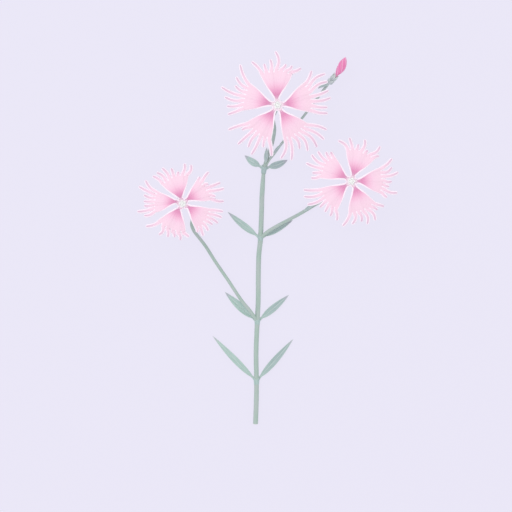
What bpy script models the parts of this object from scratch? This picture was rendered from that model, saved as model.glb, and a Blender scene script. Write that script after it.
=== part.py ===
"""A cut sprig of a fringed pink, lying on a flat surface with its three blooms facing up.

Lengths are in millimetres until mm() turns them into metres. The surface is z = 0, the cut end of
the stem points to -Y, and the origin is the middle of the sprig's footprint.
"""
import math
import random

import bmesh
import bpy
from mathutils import Matrix, Vector

MM = 0.001
GAP = 0.3               # clearance between pieces that touch on the plant
BLADE = 0.6             # thickness of petals and leaves

# Stem and branches
SIDES = 8               # faces round a stem; one of them looks straight down
FLAT = math.cos(math.pi / SIDES)        # from a stem's radius to its flat face
CUT_RADIUS = 1.25
STEM_RADIUS = 1.2
NECK_RADIUS = 0.85      # branches, and the main stem above its last joint
BUD_STALK_RADIUS = 0.6
JOINT_RADIUS = 1.45     # the swollen joints that carry the leaf pairs
JOINT_HALF = 0.8        # half length of a joint's full swelling
JOINT_FADE = 2.2        # where the swelling has run out
STATION = 7.0           # spacing of the rings along a stem
STATION_LEAST = 0.6     # rings closer than this are left out
JOINT_Z = JOINT_RADIUS * FLAT
NECK_Z = NECK_RADIUS * FLAT
OVER_LEAF_Z = 3.1       # where a branch crosses over its leaf
LEAF_START = 2.6        # a leaf's base stands this far from its joint's middle

JOINTS = {
    "bottom": (-5.5, -71.5),
    "second": (-5.1, -41.7),
    "third": (-3.5, -0.2),
    "top": (-1.75, 34.4),
}
CUT_END = (-6.0, -93.0, CUT_RADIUS * FLAT)
BEND_RADIUS = 5.0       # a stalk turns up to its bloom on this radius
BEND_STEPS = 5
RUN = 1.5               # straight run on the surface before that bend

# Blooms: plan centre of the throat, the side that the stalk comes from, lean of the tube to the
# other side, radius where the fringe starts, each petal's azimuth, half spread and turn of the
# foot, and the azimuth of each thread's tip with the thread's length and its bow to the left
CALYX_LENGTH = 22.0
BLOOMS = {
    "top": dict(
        centre=(4.76, 64.77), under=244, lean=-3.4, limb=17.2, teeth=53, seed=11,
        petals=((14, 27, -6.5), (92, 28.5, 3.5), (165, 24.5, 3), (234, 26, 0.5), (304.5, 25, -3.5)),
        fringe=(
            ((-9, 7.8, -0.5), (-2.5, 7.4, -0.4), (8, 9.3, -0.5), (16, 8.9, -0.2),
             (25, 9.9, 1.4), (33, 10.9, 1.7), (45.5, 6.5, -0.1)),
            ((57.5, 4.2, -0.9), (70, 3.3, -0.9), (78, 3.2, -0.5), (92.5, 9.2, -1.5),
             (99, 5.4, -0.5), (108, 4, 0), (121, 7.6, -0.3)),
            ((132.5, 9.8, 0), (145.5, 7.3, 0.5), (155, 5.6, 0.5), (162, 11.8, 0.6),
             (171, 9.1, 0.9), (181, 7.8, 0.7), (190.5, 7.7, 0.4)),
            ((206.5, 9.9, -0.6), (215, 4, -0.6), (224.5, 10.3, -0.2), (235.5, 8, -0.6),
             (242, 10.4, 0.4), (251.5, 4.6, -0.1), (263.5, 7.9, 0.7)),
            ((273, 9.2, 0.8), (284, 10.7, 0.4), (296.5, 6.8, 1), (303, 9.8, 1.5),
             (313, 11.2, 1.6), (323.5, 11.3, 1.3), (333.5, 9.9, 1.2)))),
    "left": dict(
        centre=(-41.67, 16.59), under=318, lean=-2.0, limb=14.2, teeth=70, seed=23,
        petals=((33, 27, 9), (108, 31, 0.3), (175.5, 23.5, -14), (245, 32, -9), (324, 27, 7)),
        fringe=(
            ((3.5, 6.1, -0.9), (12, 2.3, -0.2), (20, 7.5, -0.5), (29, 7.1, -0.3),
             (37, 1.6, 0), (50.5, 6, 0.4), (57, 1.4, 0)),
            ((78, 5.3, -1.2), (87, 5.5, -0.7), (97, 1.6, 0), (107.5, 4, -0.1),
             (120, 5.9, -0.3), (130, 5.6, -0.5), (137.5, 5.7, -0.4)),
            ((147.5, 7.3, 0.5), (158.5, 8.9, -0.1), (167, 5.2, 0.4), (176.5, 4.9, 0.2),
             (183, 4.7, 0.4), (190, 8.4, 0.5), (197, 5.5, 0.8)),
            ((211.5, 7, 0.3), (232.5, 4.9, 1.2), (246, 3.7, 0.6), (256.5, 2.7, 0.6),
             (266, 3.7, 0.9), (281, 2.4, 0.5)),
            ((297.5, 1.6, 0), (302.5, 4.6, -0.3), (313, 4.1, 0.2), (325, 3.7, 0.2),
             (331, 5.6, 0.4), (340.5, 6.3, 0.3), (349, 6.1, 0.2)))),
    "right": dict(
        centre=(40.97, 27.51), under=213, lean=-2.7, limb=15.7, teeth=38.6, seed=37,
        petals=((1.5, 25.5, 0.7), (72, 29, 2.5), (149, 26, -2.8), (218, 26.5, -1.8), (291.5, 28, 7.5)),
        fringe=(
            ((-24.5, 3.4, -0.3), (-14, 7.5, -0.9), (-8, 2.9, -0.3), (0, 4, -0.6),
             (11, 7.7, -0.5), (19.5, 5.2, -0.9), (29.5, 7.1, -0.2)),
            ((42.5, 2.6, 0.1), (51, 6.5, -1.3), (62.5, 1.4, 0), (72.5, 5.8, -0.8),
             (80, 2.7, -0.2), (93, 5.7, 0), (108.5, 5.3, -0.5)),
            ((125, 1.9, 0), (131, 3.4, 0), (138, 6.4, 0.2), (146, 7.9, 0.7),
             (158, 8.4, 0.5), (168, 4, 0.2), (175, 4.2, 0.6)),
            ((190, 8.3, 0), (197.5, 8.9, 0.5), (207.5, 8.8, 0.6), (219.5, 4.4, 0),
             (229, 4.2, 0.2), (238.5, 4.3, 0.6), (249.5, 4.8, 0.9)),
            ((258.5, 6.7, 0.1), (270.5, 5.3, 0.9), (283.5, 4.7, 0.8), (290, 6.7, 1.2),
             (301, 6.7, 1.3), (312, 3.2, 0.5), (322.5, 4.4, 0.3)))),
}

# Claw: radius from the bloom's axis, height over the throat, half width, share of the foot's turn
CLAW_RADIUS = 1.15
CLAW_HALF = 0.4
CLAW_RINGS = ((CLAW_RADIUS, -17.6, CLAW_HALF, 0.0), (CLAW_RADIUS, -1.5, CLAW_HALF, 0.0),
              (1.95, 0.25, 0.85, 0.15), (3.4, 1.2, 1.4, 1.0))
# Limb: share of its radius, height over the throat, share of its half spread and of the turn
LIMB_RINGS = ((0.30, 1.75, 0.88, 0.65), (0.52, 2.2, 1.0, 0.25), (0.76, 2.0, 1.02, 0.0),
              (1.0, 1.1, 1.0, 0.0))
RUFFLE = 0.35           # height of the waves along the fringe
RUFFLE_TURN = 7.0       # radians of wave from the middle of a limb to its side

# Threads of the fringe: shares of their length with the width there, then how they lie
THREAD_STEPS = ((0.17, 1.5), (0.43, 1.3), (0.72, 1.15), (1.0, 0.8))
THREAD_EASE = 1.2       # above 1 a thread leaves the limb straight and drifts later
THREAD_DROOP = 0.22     # fall of a thread for each unit of its length
THREAD_CURL = (-1.2, 1.6)       # least and greatest lift of a tip

# Calyx of a bloom: outer radius and height below the throat, then its teeth and scales
CALYX_SIDES = 20
CALYX_TEETH = 5
CALYX_WALL = 0.6
CALYX_PROFILE = ((1.0, -CALYX_LENGTH), (1.9, -20.7), (2.35, -18.0), (2.3, -4.6))
CALYX_RIM = (2.3, -3.4, -0.2)   # radius, height of the notches, height of the tips
TOOTH_CURVE = 1.6       # above 1 the sides of a tooth are hollowed
SCALE_SIDES = 16
SCALE_COUNT = 4
SCALE_WALL = 0.75
SCALE_PROFILE = ((2.1, -20.9), (2.75, -18.4), (2.85, -16.6))
SCALE_RIM = (2.9, -15.8, -12.6)

# Pistil and stamens: distance from the bloom's axis and height of the tips
COLUMN = ((0.4, -CALYX_LENGTH + CALYX_WALL + GAP), (0.5, -8.0), (0.6, -1.1))
ROD_ROOT = (0.15, -1.5)
ROD_RADII = (0.3, 0.3, 0.22)
STAMENS = 5
STAMEN_TIP = (1.35, 1.6, 2.4)   # distance, then least and greatest height
ANTHER_RADIUS = 0.42
STYLES = 2
STYLE_TIP = (0.55, 3.6)

# Bud: the foot and the mouth of its calyx, the petals' tip and the side bend between
BUD_FOOT = Vector((30.4, 76.9, 6.6))
BUD_MOUTH = Vector((34.2, 81.0, 7.6))
BUD_TIP = Vector((38.65, 89.6, 9.6))
BUD_BEND = Vector((0.35, -0.35, 0.3))
BUD_STUB_RADIUS = 0.45
# Furled petals: share of the length over the calyx's mouth, and radius there
BUD_SHAPE = ((0.0, 0.5), (0.09, 0.6), (0.2, 1.2), (0.34, 1.6), (0.5, 1.8), (0.64, 1.7),
             (0.78, 1.3), (0.9, 0.75), (1.0, 0.25))
BUD_LENGTH = (BUD_MOUTH - BUD_FOOT).length
BUD_PROFILE = ((0.75, 0.0), (1.15, 0.7), (1.35, BUD_LENGTH * 0.45), (1.5, BUD_LENGTH - 2.6))
BUD_RIM = (1.55, BUD_LENGTH - 1.4, BUD_LENGTH + 0.2)
BUD_SCALE_WALL = 0.5
BUD_SCALE_PROFILE = ((1.2, 0.3), (1.5, 0.9), (1.62, 1.5))
BUD_SCALE_RIM = (1.66, 1.8, 2.8)


def mm(x, y, z=0.0):
    """A point in metres from millimetres."""
    return Vector((x, y, z)) * MM


def plan(azimuth):
    """The unit vector in plan at an azimuth in degrees, counted from +X."""
    angle = math.radians(azimuth)
    return Vector((math.cos(angle), math.sin(angle), 0.0))


def clear_scene():
    for old in list(bpy.data.objects):
        bpy.data.objects.remove(old, do_unlink=True)


def principled(name, colour, roughness):
    """A plain living-surface material from an sRGB hex colour."""
    material = bpy.data.materials.new(name)
    material.use_nodes = True
    shader = material.node_tree.nodes["Principled BSDF"]
    channels = [int(colour[i:i + 2], 16) / 255 for i in (0, 2, 4)]
    linear = [c / 12.92 if c <= 0.04045 else ((c + 0.055) / 1.055) ** 2.4 for c in channels]
    shader.inputs["Base Color"].default_value = (*linear, 1.0)
    shader.inputs["Roughness"].default_value = roughness
    shader.inputs["Metallic"].default_value = 0.0
    return material


def add_piece(name, bm, material, collection, thickness=0.0, offset=0.0):
    """One named object from a bmesh, with a wall if it is an open sheet."""
    if thickness:
        bmesh.ops.triangulate(bm, faces=bm.faces[:])
    mesh = bpy.data.meshes.new(name)
    bm.to_mesh(mesh)
    bm.free()
    mesh.materials.append(material)
    mesh.shade_smooth()
    mesh.set_sharp_from_angle(angle=math.radians(40))
    piece = bpy.data.objects.new(name, mesh)
    collection.objects.link(piece)
    if thickness:
        wall = piece.modifiers.new("wall", "SOLIDIFY")
        wall.thickness = thickness * MM
        wall.offset = offset
        wall.use_even_offset = True
    return piece


def smooth_route(points):
    """Closely spaced points on a Catmull-Rom curve through the given ones."""
    ends = [2 * points[0] - points[1]] + points + [2 * points[-1] - points[-2]]
    route = []
    for a, b, c, d in zip(ends, ends[1:], ends[2:], ends[3:]):
        steps = max(2, round((c - b).length))
        for k in range(steps):
            t = k / steps
            route.append(0.5 * (2 * b + (c - a) * t + (2 * a - 5 * b + 4 * c - d) * t ** 2
                                + (3 * b - a - 3 * c + d) * t ** 3))
    return route + [points[-1]]


def lengths_along(route):
    total = [0.0]
    for a, b in zip(route, route[1:]):
        total.append(total[-1] + (b - a).length)
    return total


def point_at(route, total, station):
    """The point of a route at a distance along it."""
    for a, b, start, stop in zip(route, route[1:], total, total[1:]):
        if station <= stop:
            return a.lerp(b, (station - start) / (stop - start))
    return route[-1]


def stem_tube(name, route, radii, joints, collection):
    """A tube along a route, swollen at its joints, with one flat side down.

    radii are pairs of share of the length and radius; joints are plan points on the route.
    """
    total = lengths_along(route)
    length = total[-1]
    places = [min(zip(route, total), key=lambda p: (p[0].xy - Vector(joint)).length)[1]
              for joint in joints]
    stations = {round(k * length / round(length / STATION), 3)
                for k in range(round(length / STATION) + 1)}
    stations = {s for s in stations if all(abs(s - p) > JOINT_FADE + 1.5 for p in places)}
    for place in places:
        stations |= {place - JOINT_FADE, place - JOINT_HALF, place + JOINT_HALF,
                     place + JOINT_FADE}
    stations |= {0.0, length} | {total[-1 - k] for k in range(1, BEND_STEPS + 1)}
    stations = sorted(stations)
    kept = [stations[0]]
    for station in stations[1:]:
        if station - kept[-1] > STATION_LEAST:
            kept.append(station)
    kept[-1] = length

    def radius_at(station):
        share = station / length
        plain = radii[-1][1]
        for (a, ra), (b, rb) in zip(radii, radii[1:]):
            if share <= b:
                plain = ra + (rb - ra) * (share - a) / (b - a)
                break
        near = min((abs(station - p) for p in places), default=JOINT_FADE)
        swelling = min(1.0, max(0.0, (JOINT_FADE - near) / (JOINT_FADE - JOINT_HALF)))
        return plain + (JOINT_RADIUS - plain) * swelling

    curve = bpy.data.curves.new(name, "CURVE")
    curve.dimensions = "3D"
    curve.twist_mode = "Z_UP"
    curve.bevel_depth = MM
    curve.bevel_resolution = (SIDES - 4) // 2
    curve.use_fill_caps = True
    spline = curve.splines.new("POLY")
    spline.points.add(len(kept) - 1)
    for knot, station in zip(spline.points, kept):
        place = point_at(route, total, station)
        radius = radius_at(station)
        lowest = radius * FLAT
        knot.co = (*mm(place.x, place.y, max(place.z, lowest)), 1.0)
        knot.radius = radius
        knot.tilt = math.pi / SIDES
    return mesh_from_curve(name, curve, collection)


def mesh_from_curve(name, curve, collection):
    """The closed mesh of a curve, its caps welded to its wall."""
    guide = bpy.data.objects.new(name + "_curve", curve)
    collection.objects.link(guide)
    bpy.context.view_layer.update()
    depsgraph = bpy.context.evaluated_depsgraph_get()
    mesh = bpy.data.meshes.new_from_object(guide.evaluated_get(depsgraph))
    mesh.name = name
    bm = bmesh.new()
    bm.from_mesh(mesh)
    bmesh.ops.remove_doubles(bm, verts=bm.verts[:], dist=0.00001)
    bm.to_mesh(mesh)
    bm.free()
    piece = bpy.data.objects.new(name, mesh)
    piece.matrix_world = guide.matrix_world
    collection.objects.link(piece)
    bpy.data.objects.remove(guide, do_unlink=True)
    return piece


def unite(piece, others):
    """Fuse pieces into the first one and remove them."""
    for other in others:
        fuse = piece.modifiers.new("fuse", "BOOLEAN")
        fuse.operation = "UNION"
        fuse.solver = "EXACT"
        fuse.object = other
    bpy.context.view_layer.update()
    depsgraph = bpy.context.evaluated_depsgraph_get()
    mesh = bpy.data.meshes.new_from_object(piece.evaluated_get(depsgraph))
    mesh.name = piece.name
    piece.modifiers.clear()
    piece.data = mesh
    for other in others:
        bpy.data.objects.remove(other, do_unlink=True)
    return piece


def bloom_frame(bloom):
    """The throat's place, the axis out of the throat, and the plan direction of the tube's foot."""
    foot = plan(bloom["under"])
    lean = math.radians(bloom["lean"])
    axis = Vector((0, 0, 1)) * math.cos(lean) - foot * math.sin(lean)
    below = CALYX_LENGTH + GAP
    rise = BEND_RADIUS * (1 - math.sin(lean))
    height = NECK_Z + rise + below * math.cos(lean)
    return Vector((*bloom["centre"], height)), axis, foot


def stalk_points(bloom):
    """The run on the surface and the bend that carries a bloom, from the run's start upwards."""
    throat, axis, foot = bloom_frame(bloom)
    top = throat - axis * (CALYX_LENGTH + GAP)
    turn = math.pi / 2 - math.radians(bloom["lean"])
    start = top + foot * BEND_RADIUS * math.sin(turn)
    start.z = NECK_Z
    points = [start + foot * RUN, start + foot * RUN / 2]
    for k in range(BEND_STEPS + 1):
        angle = turn * k / BEND_STEPS
        points.append(start - foot * BEND_RADIUS * math.sin(angle)
                      + Vector((0, 0, BEND_RADIUS * (1 - math.cos(angle)))))
    return points


def whole_route(way, bloom):
    """A smooth route over the surface that ends in the bend under a bloom."""
    stalk = stalk_points(bloom)
    return smooth_route(way + stalk[:2])[:-1] + stalk[1:]


def build_stem(collection, material):
    """The main stem, its two branches and the bud's stalk, grown together."""
    joint = {name: Vector((*place, JOINT_Z)) for name, place in JOINTS.items()}
    main = [Vector(CUT_END), Vector((-5.6, -81.5, JOINT_Z)), joint["bottom"],
            Vector((-5.7, -56.5, JOINT_Z)), joint["second"], Vector((-4.65, -31.0, JOINT_Z)),
            Vector((-4.6, -21.0, JOINT_Z)), Vector((-4.35, -9.0, JOINT_Z)), joint["third"],
            Vector((-2.95, 14.0, JOINT_Z)), Vector((-2.7, 22.0, JOINT_Z)), joint["top"],
            Vector((0.0, 40.5, 1.1)), Vector((1.9, 45.8, 0.95)), Vector((3.0, 50.0, 0.85)),
            Vector((3.55, 54.8, NECK_Z))]
    left = [joint["second"], Vector((-6.9, -38.9, 2.7)), Vector((-9.0, -36.0, OVER_LEAF_Z)),
            Vector((-13.25, -30.8, OVER_LEAF_Z)), Vector((-19.75, -21.0, 2.3)),
            Vector((-26.2, -11.6, 1.2)), Vector((-30.6, -4.6, 0.85)), Vector((-34.3, 0.3, NECK_Z)),
            Vector((-36.8, 3.6, NECK_Z)), Vector((-37.95, 7.0, NECK_Z)),
            Vector((-37.15, 10.2, NECK_Z))]
    right = [joint["third"], Vector((-0.9, 2.4, 2.7)), Vector((1.5, 4.1, OVER_LEAF_Z)),
             Vector((6.2, 6.8, OVER_LEAF_Z)), Vector((11.75, 9.7, 2.3)),
             Vector((17.4, 12.8, 1.2)), Vector((22.9, 16.1, 0.85)), Vector((29.0, 19.7, NECK_Z))]
    bud = [joint["top"], Vector((0.6, 38.7, 1.3)), Vector((3.75, 42.6, 1.2)),
           Vector((7.75, 48.0, 1.2)), Vector((18.75, 61.7, 3.0)),
           BUD_FOOT - (BUD_MOUTH - BUD_FOOT).normalized() * GAP]
    stem = stem_tube("stem", whole_route(main, BLOOMS["top"]),
                     ((0.0, CUT_RADIUS), (0.12, STEM_RADIUS), (0.72, STEM_RADIUS), (0.77, 0.9),
                      (0.8, NECK_RADIUS), (0.98, NECK_RADIUS), (1.0, 1.0)), JOINTS.values(),
                     collection)
    limbs = []
    for side, route in (("left", left), ("right", right)):
        limbs.append(stem_tube("branch_" + side, whole_route(route, BLOOMS[side]),
                               ((0.0, NECK_RADIUS), (0.98, NECK_RADIUS), (1.0, 1.0)), (),
                               collection))
    limbs.append(stem_tube("bud_stalk", smooth_route(bud),
                           ((0.0, 0.7), (0.3, BUD_STALK_RADIUS), (1.0, 0.7)), (), collection))
    stem = unite(stem, limbs)
    stem.data.materials.clear()
    stem.data.materials.append(material)
    stem.data.shade_smooth()
    stem.data.set_sharp_from_angle(angle=math.radians(50))
    return stem


def build_leaf(name, base, tip, width, heights, bow, material, collection, rows=8):
    """A lance-shaped blade from base to tip in plan, keeled along its middle.

    heights are the midrib's at the base, the middle and the tip; bow bends the blade sideways.
    """
    start, end = Vector((*base, 0.0)), Vector((*tip, 0.0))
    length = (end - start).length
    low, middle, high = heights
    bm = bmesh.new()
    bmesh.ops.create_grid(bm, x_segments=rows, y_segments=2, size=1.0)
    for vert in bm.verts:
        t = (vert.co.x + 1) / 2
        across = vert.co.y
        outline = math.sin(math.pi * t ** 0.85) ** 0.8 if 0 < t < 1 else 0.0
        half = width / 2 * max(outline, 0.34 * (1 - t) + 0.13 * t)
        rise = low * (1 - t) * (1 - 2 * t) + 4 * middle * t * (1 - t) + high * t * (2 * t - 1)
        keel = 0.22 * half * across ** 2
        vert.co = mm(length * t, half * across + 4 * bow * t * (1 - t), rise + keel)
    leaf = add_piece(name, bm, material, collection, BLADE)
    leaf.location = mm(*base)
    leaf.rotation_euler.z = math.atan2(end.y - start.y, end.x - start.x)
    return leaf


def build_leaves(collection, material):
    """Four pairs at the joints, then the bract leaves of the stalks."""
    leaves = (
        ("leaf_bottom_left", "bottom", (-27.3, -49.0), 3.2, (0.9, 1.4, 0.7), 0.25),
        ("leaf_bottom_right", "bottom", (12.75, -50.6), 3.4, (0.9, 1.3, 0.7), -0.1),
        ("leaf_second_left", "second", (-21.25, -27.0), 4.0, (0.6, 0.75, 0.7), 0.3),
        ("leaf_second_right", "second", (10.6, -28.5), 3.5, (0.9, 1.3, 0.7), -0.1),
        ("leaf_third_left", "third", (-19.8, 13.0), 3.4, (0.9, 1.3, 0.7), 0.3),
        ("leaf_third_right", "third", (12.6, 8.9), 3.0, (0.6, 0.75, 0.7), -0.1),
        ("leaf_top_left", "top", (-11.4, 41.3), 3.5, (0.9, 1.4, 0.8), 0.4),
        ("leaf_top_right", "top", (10.1, 39.0), 3.6, (0.9, 1.4, 0.8), -0.4),
        ("bract_main", (-0.9, 37.6), (-0.3, 45.2), 2.0, (2.65, 2.75, 2.6), 0.1),
        ("bract_fork", (2.9, 41.8), (7.6, 47.3), 1.6, (2.4, 3.2, 3.9), 0.2),
        ("bract_right", (18.2, 13.4), (24.5, 17.3), 1.6, (2.5, 2.4, 2.3), 0.3),
        ("bract_bud", (30.3, 76.2), (25.1, 74.2), 2.1, (7.65, 7.35, 6.9), -0.8),
    )
    for name, base, tip, width, heights, bow in leaves:
        if base in JOINTS:
            joint = Vector(JOINTS[base])
            base = joint + (Vector(tip) - joint).normalized() * LEAF_START
        build_leaf(name, base, tip, width, heights, bow, material, collection)


def cup_sheet(sides, profile, rim, teeth, closed):
    """An open turned sheet whose rim runs up and down in pointed teeth."""
    bm = bmesh.new()
    radius, height = profile[0]
    bmesh.ops.create_circle(bm, segments=sides, radius=radius * MM, cap_ends=closed)
    bmesh.ops.translate(bm, verts=bm.verts[:], vec=mm(0, 0, height))
    edges = bm.edges[:]
    rim_radius, notch, point = rim
    for next_radius, next_height in (*profile[1:], (rim_radius, notch)):
        grown = bmesh.ops.extrude_edge_only(bm, edges=edges)["geom"]
        verts = [item for item in grown if isinstance(item, bmesh.types.BMVert)]
        edges = [item for item in grown if isinstance(item, bmesh.types.BMEdge)]
        scale = next_radius / radius
        bmesh.ops.scale(bm, verts=verts, vec=(scale, scale, 1.0))
        bmesh.ops.translate(bm, verts=verts, vec=mm(0, 0, next_height - height))
        radius, height = next_radius, next_height
    pitch = 360 / teeth
    for vert in verts:
        azimuth = math.degrees(math.atan2(vert.co.y, vert.co.x))
        aside = abs((azimuth + pitch / 2) % pitch - pitch / 2) / (pitch / 2)
        vert.co.z += (point - notch) * (1 - aside) ** TOOTH_CURVE * MM
    bmesh.ops.recalc_face_normals(bm, faces=bm.faces[:])
    return bm


def build_calyx(name, material, collection, profile, rim, scales, scale_rim, scale_wall):
    """A toothed tube with a cuff of short scales round its foot."""
    tube = add_piece(name, cup_sheet(CALYX_SIDES, profile, rim, CALYX_TEETH, True), material,
                     collection, CALYX_WALL, -1.0)
    cuff = add_piece(name + "_scales", cup_sheet(SCALE_SIDES, scales, scale_rim, SCALE_COUNT,
                                                 False), material, collection, scale_wall, -1.0)
    return unite(tube, [cuff])


def build_petal(name, bloom, index, material, collection):
    """A claw, a limb and its threads, pointing along +X from the bloom's axis."""
    rng = random.Random(bloom["seed"] * 10 + index)
    facing, spread, foot_turn = bloom["petals"][index]
    limb, threads = bloom["limb"], bloom["fringe"][index]
    count = len(threads)
    rings = [(r, h, math.degrees(half / r), part * foot_turn) for r, h, half, part in CLAW_RINGS]
    rings += [(f * limb, h, share * spread, part * foot_turn) for f, h, share, part in LIMB_RINGS]
    waves = rng.uniform(0, 2 * math.pi)
    bm = bmesh.new()
    bmesh.ops.create_grid(bm, x_segments=len(rings) - 1, y_segments=count, size=1.0)
    columns = {}
    for vert in bm.verts:
        ring = round((vert.co.x + 1) / 2 * (len(rings) - 1))
        across = vert.co.y
        radius, height, half, turn = rings[ring]
        outer = max(0.0, (ring - len(CLAW_RINGS)) / (len(LIMB_RINGS) - 1))
        height += RUFFLE * outer * math.sin(waves + across * RUFFLE_TURN)
        columns[(ring, round((across + 1) / 2 * count))] = vert
        vert.co = plan(turn + across * half) * radius * MM + mm(0, 0, height)
    last = len(rings) - 1
    for k, (tip, length, bow) in enumerate(threads):
        ends = (columns[(last, k)], columns[(last, k + 1)])
        edge = bm.edges.get(ends)
        root = ((2 * k + 1) / count - 1) * spread
        drift = tip - facing - root
        curl = rng.uniform(*THREAD_CURL)
        start_height = (ends[0].co.z + ends[1].co.z) / 2 / MM
        before = plan(root) * limb
        for t, width in THREAD_STEPS:
            radius = limb + length * t
            azimuth = root + drift * t ** THREAD_EASE
            azimuth += math.degrees(bow * math.sin(math.pi * t) / radius)
            height = start_height - THREAD_DROOP * length * t + curl * t ** 2
            grown = bmesh.ops.extrude_edge_only(bm, edges=[edge])["geom"]
            edge = next(item for item in grown if isinstance(item, bmesh.types.BMEdge))
            middle = plan(azimuth) * radius
            across = Vector((0, 0, 1)).cross(middle - before).normalized()
            for vert, side in zip(sorted(edge.verts, key=lambda v: v.co.y), (-1, 1)):
                place = middle + across * side * width / 2
                vert.co = mm(place.x, place.y, height)
            before = middle
    return add_piece(name, bm, material, collection, BLADE)


def rod(name, points, radii, sides, material, collection):
    """A tapered, closed rod along points."""
    bm = bmesh.new()
    turn = Vector((0, 0, 1)).rotation_difference(points[-1] - points[0]).to_matrix().to_4x4()
    bmesh.ops.create_circle(bm, segments=sides, radius=radii[0] * MM, cap_ends=True,
                            matrix=Matrix.Translation(points[0] * MM) @ turn)
    edges = bm.edges[:]
    for k in range(1, len(points)):
        grown = bmesh.ops.extrude_edge_only(bm, edges=edges)["geom"]
        edges = [item for item in grown if isinstance(item, bmesh.types.BMEdge)]
        for item in grown:
            if isinstance(item, bmesh.types.BMVert):
                from_centre = item.co - points[k - 1] * MM
                item.co = points[k] * MM + from_centre * (radii[k] / radii[k - 1])
    bmesh.ops.contextual_create(bm, geom=edges)
    bmesh.ops.recalc_face_normals(bm, faces=bm.faces[:])
    return add_piece(name, bm, material, collection)


def build_pistil(name, bloom, material, collection):
    """The column on the calyx floor, with its styles and stamens just over the throat."""
    rng = random.Random(bloom["seed"])
    column = rod(name, [Vector((0, 0, height)) for _, height in COLUMN],
                 [radius for radius, _ in COLUMN], SIDES, material, collection)
    tips = [(k * 180 + 18, *STYLE_TIP) for k in range(STYLES)]
    distance, least, greatest = STAMEN_TIP
    tips += [(36 + k * 360 / STAMENS, distance, rng.uniform(least, greatest))
             for k in range(STAMENS)]
    grown = []
    for k, (azimuth, distance, height) in enumerate(tips):
        root = plan(azimuth) * ROD_ROOT[0] + Vector((0, 0, ROD_ROOT[1]))
        tip = plan(azimuth) * distance + Vector((0, 0, height))
        bend = root.lerp(tip, 0.5) + plan(azimuth) * 0.1 * distance
        grown.append(rod(f"{name}_{k}", [root, bend, tip], ROD_RADII, 5, material, collection))
        if k >= STYLES:
            bm = bmesh.new()
            bmesh.ops.create_icosphere(bm, subdivisions=1, radius=ANTHER_RADIUS * MM,
                                       matrix=Matrix.Translation(tip * MM))
            grown.append(add_piece(f"{name}_anther_{k}", bm, material, collection))
    return unite(column, grown)


def build_bloom(side, bloom, materials, collection):
    """A bloom hung on an empty at its throat, with +Z out of the throat."""
    throat, axis, foot = bloom_frame(bloom)
    seat = bpy.data.objects.new("bloom_" + side, None)
    collection.objects.link(seat)
    seat.location = throat * MM
    lean = Matrix.Rotation(math.radians(bloom["lean"]), 4, Vector((0, 0, 1)).cross(-foot))
    seat.rotation_euler = lean.to_euler()
    calyx = build_calyx("calyx_" + side, materials["calyx"], collection, CALYX_PROFILE,
                        CALYX_RIM, SCALE_PROFILE, SCALE_RIM, SCALE_WALL)
    calyx.rotation_euler.z = math.radians(bloom["teeth"])
    pistil = build_pistil("pistil_" + side, bloom, materials["pistil"], collection)
    pistil.rotation_euler.z = math.radians(bloom["teeth"])
    pieces = [calyx, pistil]
    for index, (azimuth, *_) in enumerate(bloom["petals"]):
        petal = build_petal(f"petal_{side}_{index + 1}", bloom, index, materials["petal"],
                            collection)
        petal.rotation_euler.z = math.radians(azimuth)
        pieces.append(petal)
    for piece in pieces:
        piece.parent = seat


def build_bud(materials, collection):
    """The closed bud: its short calyx and the furled petals that stand in it."""
    up = (BUD_MOUTH - BUD_FOOT).normalized()
    calyx = build_calyx("calyx_bud", materials["calyx"], collection, BUD_PROFILE, BUD_RIM,
                        BUD_SCALE_PROFILE, BUD_SCALE_RIM, BUD_SCALE_WALL)
    calyx.location = BUD_FOOT * MM
    calyx.rotation_mode = "QUATERNION"
    calyx.rotation_quaternion = Vector((0, 0, 1)).rotation_difference(up)
    stub = BUD_FOOT + up * (2 * CALYX_WALL + GAP)
    route = smooth_route([stub, BUD_FOOT.lerp(BUD_MOUTH, 0.6), BUD_MOUTH,
                          BUD_MOUTH.lerp(BUD_TIP, 0.5) + BUD_BEND, BUD_TIP])
    total = lengths_along(route)
    inside = (BUD_MOUTH - stub).length
    shape = [(0.0, BUD_STUB_RADIUS)]
    shape += [(inside + share * (total[-1] - inside), radius) for share, radius in BUD_SHAPE]
    curve = bpy.data.curves.new("bud", "CURVE")
    curve.dimensions = "3D"
    curve.bevel_depth = MM
    curve.bevel_resolution = 3
    curve.use_fill_caps = True
    spline = curve.splines.new("POLY")
    spline.points.add(len(shape) - 1)
    for knot, (station, radius) in zip(spline.points, shape):
        knot.co = (*(point_at(route, total, station) * MM), 1.0)
        knot.radius = radius
    bud = mesh_from_curve("bud", curve, collection)
    bud.data.materials.clear()
    bud.data.materials.append(materials["bud"])
    bud.data.shade_smooth()
    return bud


def build_sprig():
    clear_scene()
    collection = bpy.data.collections.new("dianthus_sprig")
    bpy.context.scene.collection.children.link(collection)
    materials = {
        "stem": principled("stem_skin", "ABBCB8", 0.55),
        "leaf": principled("leaf_blade", "AFC7BF", 0.6),
        "calyx": principled("calyx_skin", "B4C3C0", 0.55),
        "petal": principled("petal_tissue", "F8CDE3", 0.5),
        "bud": principled("bud_tissue", "EB8ABA", 0.45),
        "pistil": principled("pistil_tissue", "E4ECE4", 0.5),
    }
    build_stem(collection, materials["stem"])
    build_leaves(collection, materials["leaf"])
    for side, bloom in BLOOMS.items():
        build_bloom(side, bloom, materials, collection)
    build_bud(materials, collection)
    bpy.context.view_layer.update()


build_sprig()
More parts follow.
